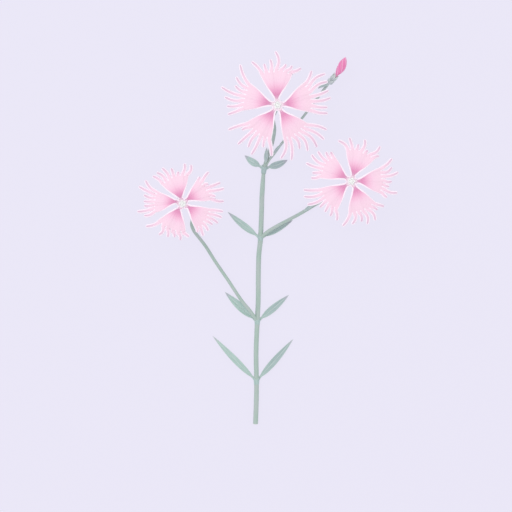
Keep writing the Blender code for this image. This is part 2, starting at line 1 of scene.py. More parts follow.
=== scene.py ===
# %% [markdown]
# # A cut sprig of fringed pink
# The plant is one flowering shoot of a fringed pink: a jointed grey-green stem, narrow leaves in
# pairs, three open blooms with threaded petals, and one closed bud. It has been cut and laid
# down, and the camera looks straight down on it.
#
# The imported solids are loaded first, as a frame that nothing here moves. Each solid is plain, so
# each gets a finer piece in the same place. Building over a fixed frame keeps the sizes honest,
# while the veins, teeth and threads get as many faces as they need.

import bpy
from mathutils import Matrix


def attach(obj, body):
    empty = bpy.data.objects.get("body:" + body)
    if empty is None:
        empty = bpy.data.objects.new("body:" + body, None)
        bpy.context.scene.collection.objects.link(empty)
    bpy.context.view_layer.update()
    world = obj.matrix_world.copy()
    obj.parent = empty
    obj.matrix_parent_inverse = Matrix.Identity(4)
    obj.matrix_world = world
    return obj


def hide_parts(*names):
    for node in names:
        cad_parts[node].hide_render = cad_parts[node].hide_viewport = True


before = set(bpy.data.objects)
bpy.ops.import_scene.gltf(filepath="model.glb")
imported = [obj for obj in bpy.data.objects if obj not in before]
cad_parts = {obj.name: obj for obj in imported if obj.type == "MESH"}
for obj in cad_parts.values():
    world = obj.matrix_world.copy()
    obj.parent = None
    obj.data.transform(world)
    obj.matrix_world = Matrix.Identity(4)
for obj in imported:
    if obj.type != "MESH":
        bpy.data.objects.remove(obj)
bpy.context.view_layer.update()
print("Solids in the frame:", len(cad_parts))

# %% Modules and the unit
import math
import random

import bmesh
import bpy
from mathutils import Matrix, Vector

MM = 0.001      # lengths below are in millimetres, and Blender's unit is the metre
UP = Vector((0, 0, 1))
print("One millimetre is", MM, "Blender units")

# %% [markdown]
# ## Colours and nodes
# Mean colours were measured in the picture, over small regions and round each throat, and the
# colours below were adjusted until the same means of the render came near them. They are written
# in sRGB, the scale that screens use, but shaders add up light, which needs linear numbers. One
# function turns one into the other. A second one adds a shader node with its settings and links,
# so that a material below reads as a list of what feeds what.

# %% Colours in linear light
def linear(hex_colour):
    """An sRGB hex colour as the linear RGBA that a shader socket takes."""
    channels = [int(hex_colour[start:start + 2], 16) / 255 for start in (0, 2, 4)]
    return (*[c / 12.92 if c <= 0.04045 else ((c + 0.055) / 1.055) ** 2.4 for c in channels], 1.0)


print("Petal pink in linear light:", [round(c, 3) for c in linear("FBDAEC")])

# %% Nodes and materials
def fill(node, inputs):
    """Set the inputs of a node, by name or number, to plain values or link them from nodes."""
    for key, value in inputs.items():
        socket = node.inputs[key] if isinstance(key, int) else next(
            socket for socket in node.inputs if socket.enabled and socket.name == key)
        if isinstance(value, bpy.types.Node):
            value = next(output for output in value.outputs if output.enabled)
        if isinstance(value, bpy.types.NodeSocket):
            node.id_data.links.new(value, socket)
        else:
            socket.default_value = value


def add_node(material, kind, inputs=None, stops=(), **settings):
    """One shader node with its settings, its inputs and, on a colour ramp, its stops."""
    node = material.node_tree.nodes.new("ShaderNode" + kind)
    for name, value in settings.items():
        setattr(node, name, value)
    fill(node, inputs or {})
    if stops:
        ramp = node.color_ramp
        while len(ramp.elements) < len(stops):
            ramp.elements.new(1.0)
        for element, (position, colour) in zip(ramp.elements, stops):
            element.position = position
            element.color = linear(colour)
    return node


def new_material(name):
    """A material and its Principled shader, whose sockets each recipe fills at its end."""
    material = bpy.data.materials.new(name)
    material.use_nodes = True
    return material, material.node_tree.nodes["Principled BSDF"]


print("A recipe starts with", len(new_material("unused")[0].node_tree.nodes), "nodes")
bpy.data.materials.remove(bpy.data.materials["unused"])

# %% [markdown]
# ## A pattern that follows the growth
# Veins, streaks and wax all run along a plant's parts, round every bend. A pattern on plain
# object coordinates would cut across them, so each vertex carries an attribute named flow with
# its place on the part as if that were laid out straight. On a tube it holds the distance along
# and the two distances across. On a leaf it holds the distance from the tip, the distance across
# and the distance to the margin. On a petal it holds the share of the way out to the threads,
# which runs on from 1 to 2 along them, the angle across, and the distance to the margin.
#
# ## Stem skin
# The stem of a pink is hairless and green, under a thin coat of wax that scatters light and turns
# it grey-green. Typical plant skin has an index of refraction near 1.4 and a satin roughness.
# Fine ridges run along it, about 0.35 mm apart, and the wax lies in patches a few millimetres
# long. One kind of noise gives both: drawn out along the stem it makes lines, and left nearly
# round it makes patches. An image could be wrapped round the stem as well, but noise has no seam
# and needs no file. At the cut end the pith shows, paler and without wax.

# %% Stem skin, waxed green skin: a satin grey-green with paler, rubbed patches
RIDGE = 0.35        # mm between the ridges
PATCH = 3.0         # mm across a patch of wax
stem_skin, shader = new_material("stem_skin_waxed")
flow = add_node(stem_skin, "Attribute", attribute_name="flow").outputs["Vector"]
part = add_node(stem_skin, "SeparateXYZ", {"Vector": flow}).outputs
along = add_node(stem_skin, "Mapping", {"Vector": flow, "Scale": (0.06 / RIDGE, 1 / RIDGE,
                                                                  1 / RIDGE)})
ridges = add_node(stem_skin, "TexNoise", {"Vector": along, "Scale": 1.0, "Detail": 3.0})
green = add_node(stem_skin, "ValToRGB", {"Fac": ridges}, ((0.35, "A5BBB2"), (0.65, "AFC3BB")))
round_it = add_node(stem_skin, "Mapping", {"Vector": flow, "Scale": (0.5 / PATCH, 1 / PATCH,
                                                                     1 / PATCH)})
wax = add_node(stem_skin, "TexNoise", {"Vector": round_it, "Scale": 1.0, "Detail": 4.0})
waxed = add_node(stem_skin, "MapRange", {"Value": wax, "From Min": 0.42, "From Max": 0.62},
                 interpolation_type="SMOOTHSTEP")
skin = add_node(stem_skin, "Mix", {"Factor": waxed, "A": green, "B": linear("B2C0BC")},
                data_type="RGBA")
cut = add_node(stem_skin, "MapRange", {"Value": part["X"], "From Min": 0.3, "From Max": 0.1})
pith = add_node(stem_skin, "Mix", {"Factor": cut, "A": skin, "B": linear("CBD6C9")},
                data_type="RGBA")
relief = add_node(stem_skin, "Bump", {"Height": ridges, "Strength": 0.35, "Distance": 0.12 * MM})
fill(shader, {"Base Color": pith, "Normal": relief, "Roughness": 0.52, "IOR": 1.4,
              "Sheen Weight": 0.15, "Sheen Roughness": 0.5})
print("Stem skin:", len(stem_skin.node_tree.nodes), "nodes, ridges every", RIDGE, "mm")

# %% [markdown]
# ## Leaf blade
# A pink's leaf is a stiff strap with the same wax as the stem. Its veins run side by side from
# base to tip, with a paler line down the middle rib that is a painted highlight, and its thin
# margin lets a little light through and looks paler too. The rib's painted highlight comes from
# the distance across, the margin from the distance to the edge, and the veins from noise drawn
# out along the blade, all of them in flow, so that they follow each leaf wherever it points. The
# leaves on the right side are a little greyer than those on the left, which plain object
# coordinates tell. Every tip dries to a dull mauve.

# %% Leaf blade, waxed leaf: dull blue-green, a painted highlight along the rib, mauve at the tip
VEIN = 0.45         # mm between the veins
leaf_blade, shader = new_material("leaf_blade_waxed")
flow = add_node(leaf_blade, "Attribute", attribute_name="flow").outputs["Vector"]
part = add_node(leaf_blade, "SeparateXYZ", {"Vector": flow}).outputs
along = add_node(leaf_blade, "Mapping", {"Vector": flow, "Scale": (0.08 / VEIN, 1 / VEIN, 0.0)})
veins = add_node(leaf_blade, "TexNoise", {"Vector": along, "Scale": 1.0, "Detail": 2.0})
green = add_node(leaf_blade, "ValToRGB", {"Fac": veins}, ((0.35, "A6C0BA"), (0.65, "B5CDC9")))
grey = add_node(leaf_blade, "ValToRGB", {"Fac": veins}, ((0.35, "9BB0B1"), (0.65, "ABBFC0")))
place = add_node(leaf_blade, "TexCoord").outputs["Object"]
place = add_node(leaf_blade, "SeparateXYZ", {"Vector": place}).outputs
right = add_node(leaf_blade, "MapRange", {"Value": place["X"], "From Min": -8 * MM,
                                          "From Max": 4 * MM})
both = add_node(leaf_blade, "Mix", {"Factor": right, "A": green, "B": grey}, data_type="RGBA")
# Painted highlight: a paler line down the middle rib.
off_rib = add_node(leaf_blade, "Math", {0: part["Y"]}, operation="ABSOLUTE")
rib = add_node(leaf_blade, "MapRange", {"Value": off_rib, "From Min": 0.34, "From Max": 0.04,
                                        "To Max": 0.8}, interpolation_type="SMOOTHSTEP")
painted_rib_highlight = add_node(leaf_blade, "Mix", {"Factor": rib, "A": both, "B": linear("C4D4CE")},
                  data_type="RGBA")
dry = add_node(leaf_blade, "MapRange", {"Value": part["X"], "From Min": 4.5, "From Max": 0.5,
                                        "To Max": 0.9}, interpolation_type="SMOOTHSTEP")
tipped = add_node(leaf_blade, "Mix", {"Factor": dry, "A": painted_rib_highlight, "B": linear("AEA7BD")},
                  data_type="RGBA")
thin = add_node(leaf_blade, "MapRange", {"Value": part["Z"], "From Min": 0.3, "From Max": 0.0,
                                         "To Max": 0.8}, interpolation_type="SMOOTHSTEP")
margin = add_node(leaf_blade, "Mix", {"Factor": thin, "A": tipped, "B": linear("CAD8D4")},
                  data_type="RGBA")
relief = add_node(leaf_blade, "Bump", {"Height": veins, "Strength": 0.4, "Distance": 0.1 * MM})
fill(shader, {"Base Color": margin, "Normal": relief, "Roughness": 0.56, "IOR": 1.42,
              "Sheen Weight": 0.12, "Sheen Roughness": 0.5})
print("Leaf blade:", len(leaf_blade.node_tree.nodes), "nodes, veins every", VEIN, "mm")

# %% [markdown]
# ## Calyx skin
# The calyx is the tube that holds the petals. It is a waxed skin like the stem's, drawn into
# many fine ribs. The teeth of an open bloom turn pale and papery, and so does the mouth of the
# tube for a few millimetres below them, while its foot stays grey-green. The distance from the
# mouth, in flow, blends one into the other, and noise drawn out along the tube streaks it.

# %% Calyx skin, ribbed waxed skin: grey-green, with a papery green-white mouth and teeth
STREAKS = 2.2       # streaks to the millimetre, so they are about 0.45 mm apart
calyx_skin, shader = new_material("calyx_skin_ribbed")
flow = add_node(calyx_skin, "Attribute", attribute_name="flow").outputs["Vector"]
part = add_node(calyx_skin, "SeparateXYZ", {"Vector": flow}).outputs
along = add_node(calyx_skin, "Mapping", {"Vector": flow, "Scale": (0.2, STREAKS, STREAKS)})
streaks = add_node(calyx_skin, "TexNoise", {"Vector": along, "Scale": 1.0, "Detail": 3.0})
green = add_node(calyx_skin, "ValToRGB", {"Fac": streaks}, ((0.35, "B0BCBE"), (0.65, "C3CDD0")))
mouth = add_node(calyx_skin, "MapRange", {"Value": part["X"], "From Min": 10.0, "From Max": 3.5},
                 interpolation_type="SMOOTHSTEP")
papery = add_node(calyx_skin, "Mix", {"Factor": mouth, "A": green, "B": linear("E9F0EB")},
                  data_type="RGBA")
relief = add_node(calyx_skin, "Bump", {"Height": streaks, "Strength": 0.3, "Distance": 0.1 * MM})
fill(shader, {"Base Color": papery, "Normal": relief, "Roughness": 0.5, "IOR": 1.4,
              "Sheen Weight": 0.15, "Sheen Roughness": 0.5})
print("Calyx skin:", len(calyx_skin.node_tree.nodes), "nodes")

# %% [markdown]
# ## Petal tissue
# A petal is a few cells thick. Light enters it, scatters between the cells and comes back soft,
# so it is rough, slightly velvety, and nearly white where there is little pigment. The pigment
# is densest near the throat: a pale foot, painted paler still as painted light against the shade
# in the throat, then a deep rose wedge whose sides are darkened by a painted shadow line, and it
# fades to shell pink over the limb. Along each thread the pink turns a little cooler and darker
# again, up to the tip. Margins are one cell thick and white, and the white is broadest near the
# throat.
#
# The way out, from 0 at the throat over 1 at the root of the threads to 2 at their tips, feeds a
# colour ramp at half its value. Noise drawn out along the veins breaks up its edge. The distance
# to the margin, divided by how broad the white is at that point, draws the rim. That breadth
# comes from a ramp of greys, because a ramp is the simplest curve to read on a shader: in linear
# light B0B0B0 stands for 0.43 mm of white and EBEBEB for 0.83 mm.

# %% Petal tissue, soft translucent tissue: velvet pink with a rose wedge and white margins
# Half the way out and the colour there. These follow mean colours that were measured along the
# petals in the picture. Over the outer half of the limb they lie within 5 of 255 levels of them.
# Near the throat they are up to 22 levels off, and there the render itself comes out up to 16
# levels darker or lighter than the ramp.
# The stops from 0.05 to 0.088 are painted light: they are lighter than the tissue's own colour, to
# offset the shade that falls deep in the throat.
PETAL_RAMP = ((0.0, "F4FAF4"), (0.05, "FFF9FD"), (0.07, "FCEBF5"), (0.088, "EFD2E3"),
              (0.108, "E5B0CE"), (0.13, "E29DC3"), (0.155, "E498C0"), (0.18, "E9A0C7"),
              (0.205, "EDA9CE"), (0.235, "F2B5D5"), (0.265, "F6C1DD"), (0.3, "F9CBE4"),
              (0.345, "FAD5EA"), (0.42, "FBDAEC"), (0.5, "FBDAEC"), (0.56, "FBDAED"),
              (0.66, "F6D4E8"), (0.85, "EDCBE1"), (1.0, "DFBFD7"))
VEIN_TURN = 1.1     # degrees between the veins of a limb
FADES = 0.22        # uneven fades of the rose to a degree, so one in 4.5 degrees
FRAY = 0.06         # how far they push the colours to and fro on the ramp, in all
petal_tissue, shader = new_material("petal_tissue_velvet")
flow = add_node(petal_tissue, "Attribute", attribute_name="flow").outputs["Vector"]
part = add_node(petal_tissue, "SeparateXYZ", {"Vector": flow}).outputs
along = add_node(petal_tissue, "Mapping", {"Vector": flow, "Scale": (2.0, FADES, 0.0)})
streaks = add_node(petal_tissue, "TexNoise", {"Vector": along, "Scale": 1.0, "Detail": 3.0})
shifted = add_node(petal_tissue, "Math", {0: streaks, 1: FRAY, 2: -FRAY / 2},
                   operation="MULTIPLY_ADD")
way_out = add_node(petal_tissue, "Math", {0: part["X"], 1: 0.5, 2: shifted},
                   operation="MULTIPLY_ADD")
pink = add_node(petal_tissue, "ValToRGB", {"Fac": way_out}, PETAL_RAMP)
across = add_node(petal_tissue, "Mapping", {"Vector": flow, "Scale": (0.8, 1 / VEIN_TURN, 0.0)})
veins = add_node(petal_tissue, "TexNoise", {"Vector": across, "Scale": 1.0, "Detail": 2.0})
lines = add_node(petal_tissue, "MapRange", {"Value": veins, "From Min": 0.5, "From Max": 0.75,
                                            "To Max": 0.15}, interpolation_type="SMOOTHSTEP")
veined = add_node(petal_tissue, "Mix", {"Factor": lines, "A": pink, "B": linear("F4B4D5")},
                  data_type="RGBA")
breadth = add_node(petal_tissue, "ValToRGB", {"Fac": way_out},
                   ((0.0, "B0B0B0"), (0.06, "C8C8C8"), (0.108, "E6E6E6"), (0.13, "EBEBEB"),
                    (0.22, "DEDEDE"), (0.35, "A6A6A6"), (0.53, "A2A2A2"), (0.65, "C0C0C0")))
white_part = add_node(petal_tissue, "Math", {0: part["Z"], 1: breadth}, operation="DIVIDE")
# Painted shade: a darker mauve line along the sides of the rose wedge near the throat, a painted
# shadow line where those sides fall into shade.
flank_painted_shade = add_node(petal_tissue, "MapRange", {"Value": white_part, "From Min": 1.7,
                                            "From Max": 1.15}, interpolation_type="SMOOTHSTEP")
throat = add_node(petal_tissue, "ValToRGB", {"Fac": way_out},
                  ((0.06, "000000"), (0.085, "BBBBBB"), (0.11, "BBBBBB"), (0.26, "000000")))
painted_shade_flanks = add_node(petal_tissue, "Math", {0: flank_painted_shade, 1: throat}, operation="MULTIPLY")
wedge = add_node(petal_tissue, "Mix", {"Factor": painted_shade_flanks, "A": veined, "B": linear("CC7FAE")},
                 data_type="RGBA")
rim = add_node(petal_tissue, "MapRange", {"Value": white_part, "From Min": 1.25,
                                          "From Max": 0.75}, interpolation_type="SMOOTHSTEP")
rimmed = add_node(petal_tissue, "Mix", {"Factor": rim, "A": wedge, "B": linear("FFF2FE")},
                  data_type="RGBA")
relief = add_node(petal_tissue, "Bump", {"Height": veins, "Strength": 0.25,
                                         "Distance": 0.12 * MM})
fill(shader, {"Base Color": rimmed, "Normal": relief, "Roughness": 0.62, "IOR": 1.38,
              "Sheen Weight": 0.2, "Sheen Roughness": 0.4})
print("Petal tissue:", len(petal_tissue.node_tree.nodes), "nodes,", len(PETAL_RAMP), "stops")

# %% [markdown]
# ## Bud, stamens and floor
# The closed bud shows the backs of the same petals, before they have spread and paled, so it is
# a strong even rose with paler free edges, and a fine down makes its outline softer. Sheen gives
# that. The stamens and styles are watery tissue, nearly white, with a hint of green, and are
# painted a little lighter still, as painted light against the shade deep in the throat.
#
# The floor is a matt lavender card on a light table. Nearly all its light comes through it from
# below, which emission stands for, and its own surface is dark, so that the plant throws hardly
# any shade on it.

# %% Bud tissue, folded petals: strong rose, paler along each free edge
bud_tissue, shader = new_material("bud_tissue_rose")
flow = add_node(bud_tissue, "Attribute", attribute_name="flow").outputs["Vector"]
part = add_node(bud_tissue, "SeparateXYZ", {"Vector": flow}).outputs
along = add_node(bud_tissue, "Mapping", {"Vector": flow, "Scale": (0.25, STREAKS, 0.0)})
streaks = add_node(bud_tissue, "TexNoise", {"Vector": along, "Scale": 1.0, "Detail": 3.0})
rose = add_node(bud_tissue, "ValToRGB", {"Fac": streaks}, ((0.35, "E980B5"), (0.7, "EE94C2")))
edge = add_node(bud_tissue, "MapRange", {"Value": part["Z"], "From Min": 0.5, "From Max": 0.05},
                interpolation_type="SMOOTHSTEP")
edged = add_node(bud_tissue, "Mix", {"Factor": edge, "A": rose, "B": linear("F5BFDB")},
                 data_type="RGBA")
relief = add_node(bud_tissue, "Bump", {"Height": streaks, "Strength": 0.35,
                                       "Distance": 0.12 * MM})
fill(shader, {"Base Color": edged, "Normal": relief, "Roughness": 0.5, "IOR": 1.38,
              "Sheen Weight": 1.0, "Sheen Roughness": 0.25})
print("Bud tissue:", len(bud_tissue.node_tree.nodes), "nodes")

# %% Stamen tissue, watery stalks: near white with a breath of green
GRAIN = 0.4         # mm between the grains of pollen, drawn coarser than they are so they show
stamen_tissue, shader = new_material("stamen_tissue_pale")
flow = add_node(stamen_tissue, "Attribute", attribute_name="flow").outputs["Vector"]
grains = add_node(stamen_tissue, "TexNoise", {"Vector": flow, "Scale": 1 / GRAIN,
                                              "Detail": 2.0})
# Painted light: both stops are a little lighter than the tissue's own colour, to offset the shade
# among the stamens in the throat.
pale = add_node(stamen_tissue, "ValToRGB", {"Fac": grains}, ((0.4, "F2F6F3"), (0.65, "FDFDFE")))
relief = add_node(stamen_tissue, "Bump", {"Height": grains, "Strength": 0.3,
                                          "Distance": 0.08 * MM})
fill(shader, {"Base Color": pale, "Normal": relief, "Roughness": 0.45, "IOR": 1.38,
              "Sheen Weight": 0.1})
print("Stamen tissue:", len(stamen_tissue.node_tree.nodes), "nodes")

# %% Floor card, matt card: lavender, with fibres drawn coarser than they are so that they show
FIBRE = 1.0         # mm between the fibres
GLOW = 0.92         # strength of the light that comes through the card
floor_card, shader = new_material("floor_card_lavender")
place = add_node(floor_card, "TexCoord").outputs["Object"]
fibres = add_node(floor_card, "TexNoise", {"Vector": place, "Scale": 1 / (FIBRE * MM),
                                           "Detail": 3.0})
card = add_node(floor_card, "ValToRGB", {"Fac": fibres}, ((0.2, "4A4951"), (0.8, "4D4B54")))
relief = add_node(floor_card, "Bump", {"Height": fibres, "Strength": 0.05,
                                       "Distance": 0.02 * MM})
fill(shader, {"Base Color": card, "Normal": relief, "Roughness": 0.9, "IOR": 1.45,
              "Specular IOR Level": 0.2, "Emission Color": linear("E9E6F5"),
              "Emission Strength": GLOW})
print("Floor card:", len(floor_card.node_tree.nodes), "nodes")

# %% [markdown]
# ## Growing shapes from a grid
# A leaf, a petal and a tube are all a sheet: a grid of quads pushed into shape. The grid
# operator makes the faces, a formula says where each vertex goes, and welding two opposite sides
# turns the sheet into a tube. One way of working then serves the whole plant.

# %% Sheets and tubes
def new_shape():
    """An empty bmesh whose vertices carry the flow attribute."""
    bm = bmesh.new()
    bm.verts.layers.float_vector.new("flow")
    return bm


def grow_sheet(bm, along, across, place, weld=False):
    """A grid; place gives a point in mm and its flow for shares along and across."""
    flow = bm.verts.layers.float_vector["flow"]
    verts = bmesh.ops.create_grid(bm, x_segments=along, y_segments=across, size=1.0)["verts"]
    for vert in verts:
        point, vert[flow] = place((vert.co.x + 1) / 2, (vert.co.y + 1) / 2)
        vert.co = point * MM
    if weld:
        bmesh.ops.remove_doubles(bm, verts=verts, dist=0.001 * MM)
    return verts


def grow_tube(bm, frame_at, stations, sides, shape):
    """A tube of rings. shape moves a station and gives its radius for an angle round the tube."""
    def place(along, across):
        angle = 2 * math.pi * across
        station, radius = shape(stations[round(along * (len(stations) - 1))], angle)
        centre, side, other = frame_at(station)
        x, y = radius * math.cos(angle), radius * math.sin(angle)
        return centre + side * x + other * y, (station, x, y)
    return grow_sheet(bm, len(stations) - 1, sides, place, weld=True)


def through(points, x):
    """The value at x on a smooth curve through pairs of x and value."""
    if x <= points[0][0]:
        return points[0][1]
    if x >= points[-1][0]:
        return points[-1][1]
    k = max(i for i, point in enumerate(points[:-1]) if point[0] <= x)

    def slope(i):
        before, after = points[max(i - 1, 0)], points[min(i + 1, len(points) - 1)]
        return (after[1] - before[1]) / (after[0] - before[0])

    (x0, y0), (x1, y1) = points[k], points[k + 1]
    gap = x1 - x0
    t = (x - x0) / gap
    return ((2 * t ** 3 - 3 * t ** 2 + 1) * y0 + (t ** 3 - 2 * t ** 2 + t) * gap * slope(k)
            + (3 * t ** 2 - 2 * t ** 3) * y1 + (t ** 3 - t ** 2) * gap * slope(k + 1))


print("Halfway between 1 and 4 on a smooth curve:", through(((0, 1.0), (1, 4.0)), 0.5))

# %% [markdown]
# ## Finishing a piece
# Every piece ends the same way. Its mesh goes to where it belongs, so that its object can stay
# at the origin. A thin sheet gets a wall from the Solidify modifier, thinner at the margin than
# in the middle, as living tissue is. Then the piece is told which body it rides on, and the
# solid it stands for is hidden.

# %% Finish a piece
FULL_WALL = 0.9     # mm in from a margin, where a blade has reached its full thickness


def keep(name, bm, material, node=None, seat=None, wall=0.0, rim=1.0, offset=0.0):
    """An object from a bmesh. rim is the wall's share of thickness at the margin."""
    if seat is not None:
        bmesh.ops.transform(bm, matrix=seat, verts=bm.verts)
    bmesh.ops.recalc_face_normals(bm, faces=bm.faces)
    if rim < 1.0:
        flow = bm.verts.layers.float_vector["flow"]
        weights = bm.verts.layers.deform.verify()
        for vert in bm.verts:
            vert[weights][0] = min(1.0, vert[flow].z / FULL_WALL)
    mesh = bpy.data.meshes.new(name)
    bm.to_mesh(mesh)
    bm.free()
    mesh.materials.append(material)
    mesh.shade_smooth()
    piece = bpy.data.objects.new(name, mesh)
    bpy.context.scene.collection.objects.link(piece)
    if wall:
        solid = piece.modifiers.new("wall", "SOLIDIFY")
        solid.thickness = wall * MM
        solid.offset = offset
        if rim < 1.0:
            piece.vertex_groups.new(name="flesh")
            solid.vertex_group = "flesh"
            solid.thickness_vertex_group = rim
    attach(piece, "root")
    if node:
        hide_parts(node)
    return piece


print("Pieces ride on root, the only body of a plant without joints")

# %% [markdown]
# ## Stem and branches
# The stem is the plant's only long part, so its route decides where everything sits. It runs
# from the cut end through four joints, each a slight swelling where a leaf pair grows, and bends
# up at its end to carry the top bloom. Two branches and the bud's stalk leave it at joints. The
# route is a smooth curve through a few points, the same ones that the solid was built from.
# A curve object with a bevel would also make the tube, but rings placed one by one can follow the
# swellings and close the cut end with a real rim.

# %% The route's driving sizes
FLAT = math.cos(math.pi / 8)        # the solid's stem is eight-sided and lies on a flat side
CUT_RADIUS = 1.25
STEM_RADIUS = 1.2
NECK_RADIUS = 0.85                  # branches, and the main stem above its last joint
BUD_STALK_RADIUS = 0.6
SOLID_JOINT_RADIUS = 1.45           # the solid's joints are wider, as they stand for the sheaths
JOINT_RADIUS = 1.32
JOINT_HALF = 0.5                    # mm from a joint's middle, where its swelling starts to fade
JOINT_FADE = 2.6                    # and where it has gone
JOINT_Z = SOLID_JOINT_RADIUS * FLAT
NECK_Z = NECK_RADIUS * FLAT
OVER_LEAF_Z = 3.1                   # where a branch crosses over its leaf
JOINTS = {
    "bottom": (-5.5, -71.5),
    "second": (-5.1, -41.7),
    "third": (-3.5, -0.2),
    "top": (-1.75, 34.4),
}
BEND_RADIUS = 5.0                   # a stalk turns up to its bloom on this radius
BEND_STEPS = 12
RUN = 1.5                           # straight run on the surface before the bend
GAP = 0.3                           # between the end of a stalk and the foot of its calyx
CALYX_LENGTH = 22.0
print("Joints on the stem:", ", ".join(JOINTS))

# %% The blooms' driving sizes
# Plan centre of the throat, the side that the stalk comes from, the lean of the tube, the radius
# where the fringe starts, the turn of the calyx and the seed. Then each petal's azimuth, half
# spread and turn of its foot in degrees, and the azimuth of each thread's tip with the thread's
# length and its bow to the left in mm. The directions, tips, lengths and bows were measured in
# the picture, thread by thread, and the solids are built from the same numbers.
BLOOMS = {
    "top": dict(
        centre=(4.76, 64.77), under=244, lean=-3.4, limb=17.2, teeth=53, seed=11,
        petals=((14, 27, -6.5), (92, 28.5, 3.5), (165, 24.5, 3), (234, 26, 0.5), (304.5, 25, -3.5)),
        fringe=(
            ((-9, 7.8, -0.5), (-2.5, 7.4, -0.4), (8, 9.3, -0.5), (16, 8.9, -0.2),
             (25, 9.9, 1.4), (33, 10.9, 1.7), (45.5, 6.5, -0.1)),
            ((57.5, 4.2, -0.9), (70, 3.3, -0.9), (78, 3.2, -0.5), (92.5, 9.2, -1.5),
             (99, 5.4, -0.5), (108, 4, 0), (121, 7.6, -0.3)),
            ((132.5, 9.8, 0), (145.5, 7.3, 0.5), (155, 5.6, 0.5), (162, 11.8, 0.6),
             (171, 9.1, 0.9), (181, 7.8, 0.7), (190.5, 7.7, 0.4)),
            ((206.5, 9.9, -0.6), (215, 4, -0.6), (224.5, 10.3, -0.2), (235.5, 8, -0.6),
             (242, 10.4, 0.4), (251.5, 4.6, -0.1), (263.5, 7.9, 0.7)),
            ((273, 9.2, 0.8), (284, 10.7, 0.4), (296.5, 6.8, 1), (303, 9.8, 1.5),
             (313, 11.2, 1.6), (323.5, 11.3, 1.3), (333.5, 9.9, 1.2)))),
    "left": dict(
        centre=(-41.67, 16.59), under=318, lean=-2.0, limb=14.2, teeth=70, seed=23,
        petals=((33, 27, 9), (108, 31, 0.3), (175.5, 23.5, -14), (245, 32, -9), (324, 27, 7)),
        fringe=(
            ((3.5, 6.1, -0.9), (12, 2.3, -0.2), (20, 7.5, -0.5), (29, 7.1, -0.3),
             (37, 1.6, 0), (50.5, 6, 0.4), (57, 1.4, 0)),
            ((78, 5.3, -1.2), (87, 5.5, -0.7), (97, 1.6, 0), (107.5, 4, -0.1),
             (120, 5.9, -0.3), (130, 5.6, -0.5), (137.5, 5.7, -0.4)),
            ((147.5, 7.3, 0.5), (158.5, 8.9, -0.1), (167, 5.2, 0.4), (176.5, 4.9, 0.2),
             (183, 4.7, 0.4), (190, 8.4, 0.5), (197, 5.5, 0.8)),
            ((211.5, 7, 0.3), (232.5, 4.9, 1.2), (246, 3.7, 0.6), (256.5, 2.7, 0.6),
             (266, 3.7, 0.9), (281, 2.4, 0.5)),
            ((297.5, 1.6, 0), (302.5, 4.6, -0.3), (313, 4.1, 0.2), (325, 3.7, 0.2),
             (331, 5.6, 0.4), (340.5, 6.3, 0.3), (349, 6.1, 0.2)))),
    "right": dict(
        centre=(40.97, 27.51), under=213, lean=-2.7, limb=15.7, teeth=38.6, seed=37,
        petals=((1.5, 25.5, 0.7), (72, 29, 2.5), (149, 26, -2.8), (218, 26.5, -1.8),
                (291.5, 28, 7.5)),
        fringe=(
            ((-24.5, 3.4, -0.3), (-14, 7.5, -0.9), (-8, 2.9, -0.3), (0, 4, -0.6),
             (11, 7.7, -0.5), (19.5, 5.2, -0.9), (29.5, 7.1, -0.2)),
            ((42.5, 2.6, 0.1), (51, 6.5, -1.3), (62.5, 1.4, 0), (72.5, 5.8, -0.8),
             (80, 2.7, -0.2), (93, 5.7, 0), (108.5, 5.3, -0.5)),
            ((125, 1.9, 0), (131, 3.4, 0), (138, 6.4, 0.2), (146, 7.9, 0.7),
             (158, 8.4, 0.5), (168, 4, 0.2), (175, 4.2, 0.6)),
            ((190, 8.3, 0), (197.5, 8.9, 0.5), (207.5, 8.8, 0.6), (219.5, 4.4, 0),
             (229, 4.2, 0.2), (238.5, 4.3, 0.6), (249.5, 4.8, 0.9)),
            ((258.5, 6.7, 0.1), (270.5, 5.3, 0.9), (283.5, 4.7, 0.8), (290, 6.7, 1.2),
             (301, 6.7, 1.3), (312, 3.2, 0.5), (322.5, 4.4, 0.3)))),
}


def plan(azimuth):
    """The unit vector in plan at an azimuth in degrees, counted from +X."""
    angle = math.radians(azimuth)
    return Vector((math.cos(angle), math.sin(angle), 0.0))


def bloom_frame(bloom):
    """The throat's place, the axis out of the throat, and the plan direction of the foot."""
    foot = plan(bloom["under"])
    lean = math.radians(bloom["lean"])
    axis = UP * math.cos(lean) - foot * math.sin(lean)
    rise = BEND_RADIUS * (1 - math.sin(lean))
    height = NECK_Z + rise + (CALYX_LENGTH + GAP) * math.cos(lean)
    return Vector((*bloom["centre"], height)), axis, foot


for side, bloom in BLOOMS.items():
    print("Throat of the", side, "bloom in mm:", [round(v, 1) for v in bloom_frame(bloom)[0]])

# %% Smooth routes
def smooth_route(points):
    """Closely spaced points on a Catmull-Rom curve through the given ones."""
    ends = [2 * points[0] - points[1]] + points + [2 * points[-1] - points[-2]]
    route = []
    for a, b, c, d in zip(ends, ends[1:], ends[2:], ends[3:]):
        steps = max(2, round((c - b).length))
        for k in range(steps):
            t = k / steps
            route.append(0.5 * (2 * b + (c - a) * t + (2 * a - 5 * b + 4 * c - d) * t ** 2
                                + (3 * b - a - 3 * c + d) * t ** 3))
    return route + [points[-1]]


def stalk_points(bloom):
    """The run on the surface and the bend that lifts a bloom."""
    throat, axis, foot = bloom_frame(bloom)
    top = throat - axis * (CALYX_LENGTH + GAP)
    turn = math.pi / 2 - math.radians(bloom["lean"])
    start = top + foot * BEND_RADIUS * math.sin(turn)
    start.z = NECK_Z
    points = [start + foot * RUN, start + foot * RUN / 2]
    for k in range(BEND_STEPS + 1):
        angle = turn * k / BEND_STEPS
        points.append(start - foot * BEND_RADIUS * math.sin(angle)
                      + UP * BEND_RADIUS * (1 - math.cos(angle)))
    return points


def whole_route(way, bloom):
    """A smooth route over the surface that ends in the bend under a bloom."""
    stalk = stalk_points(bloom)
    return smooth_route(way + stalk[:2])[:-1] + stalk[1:]


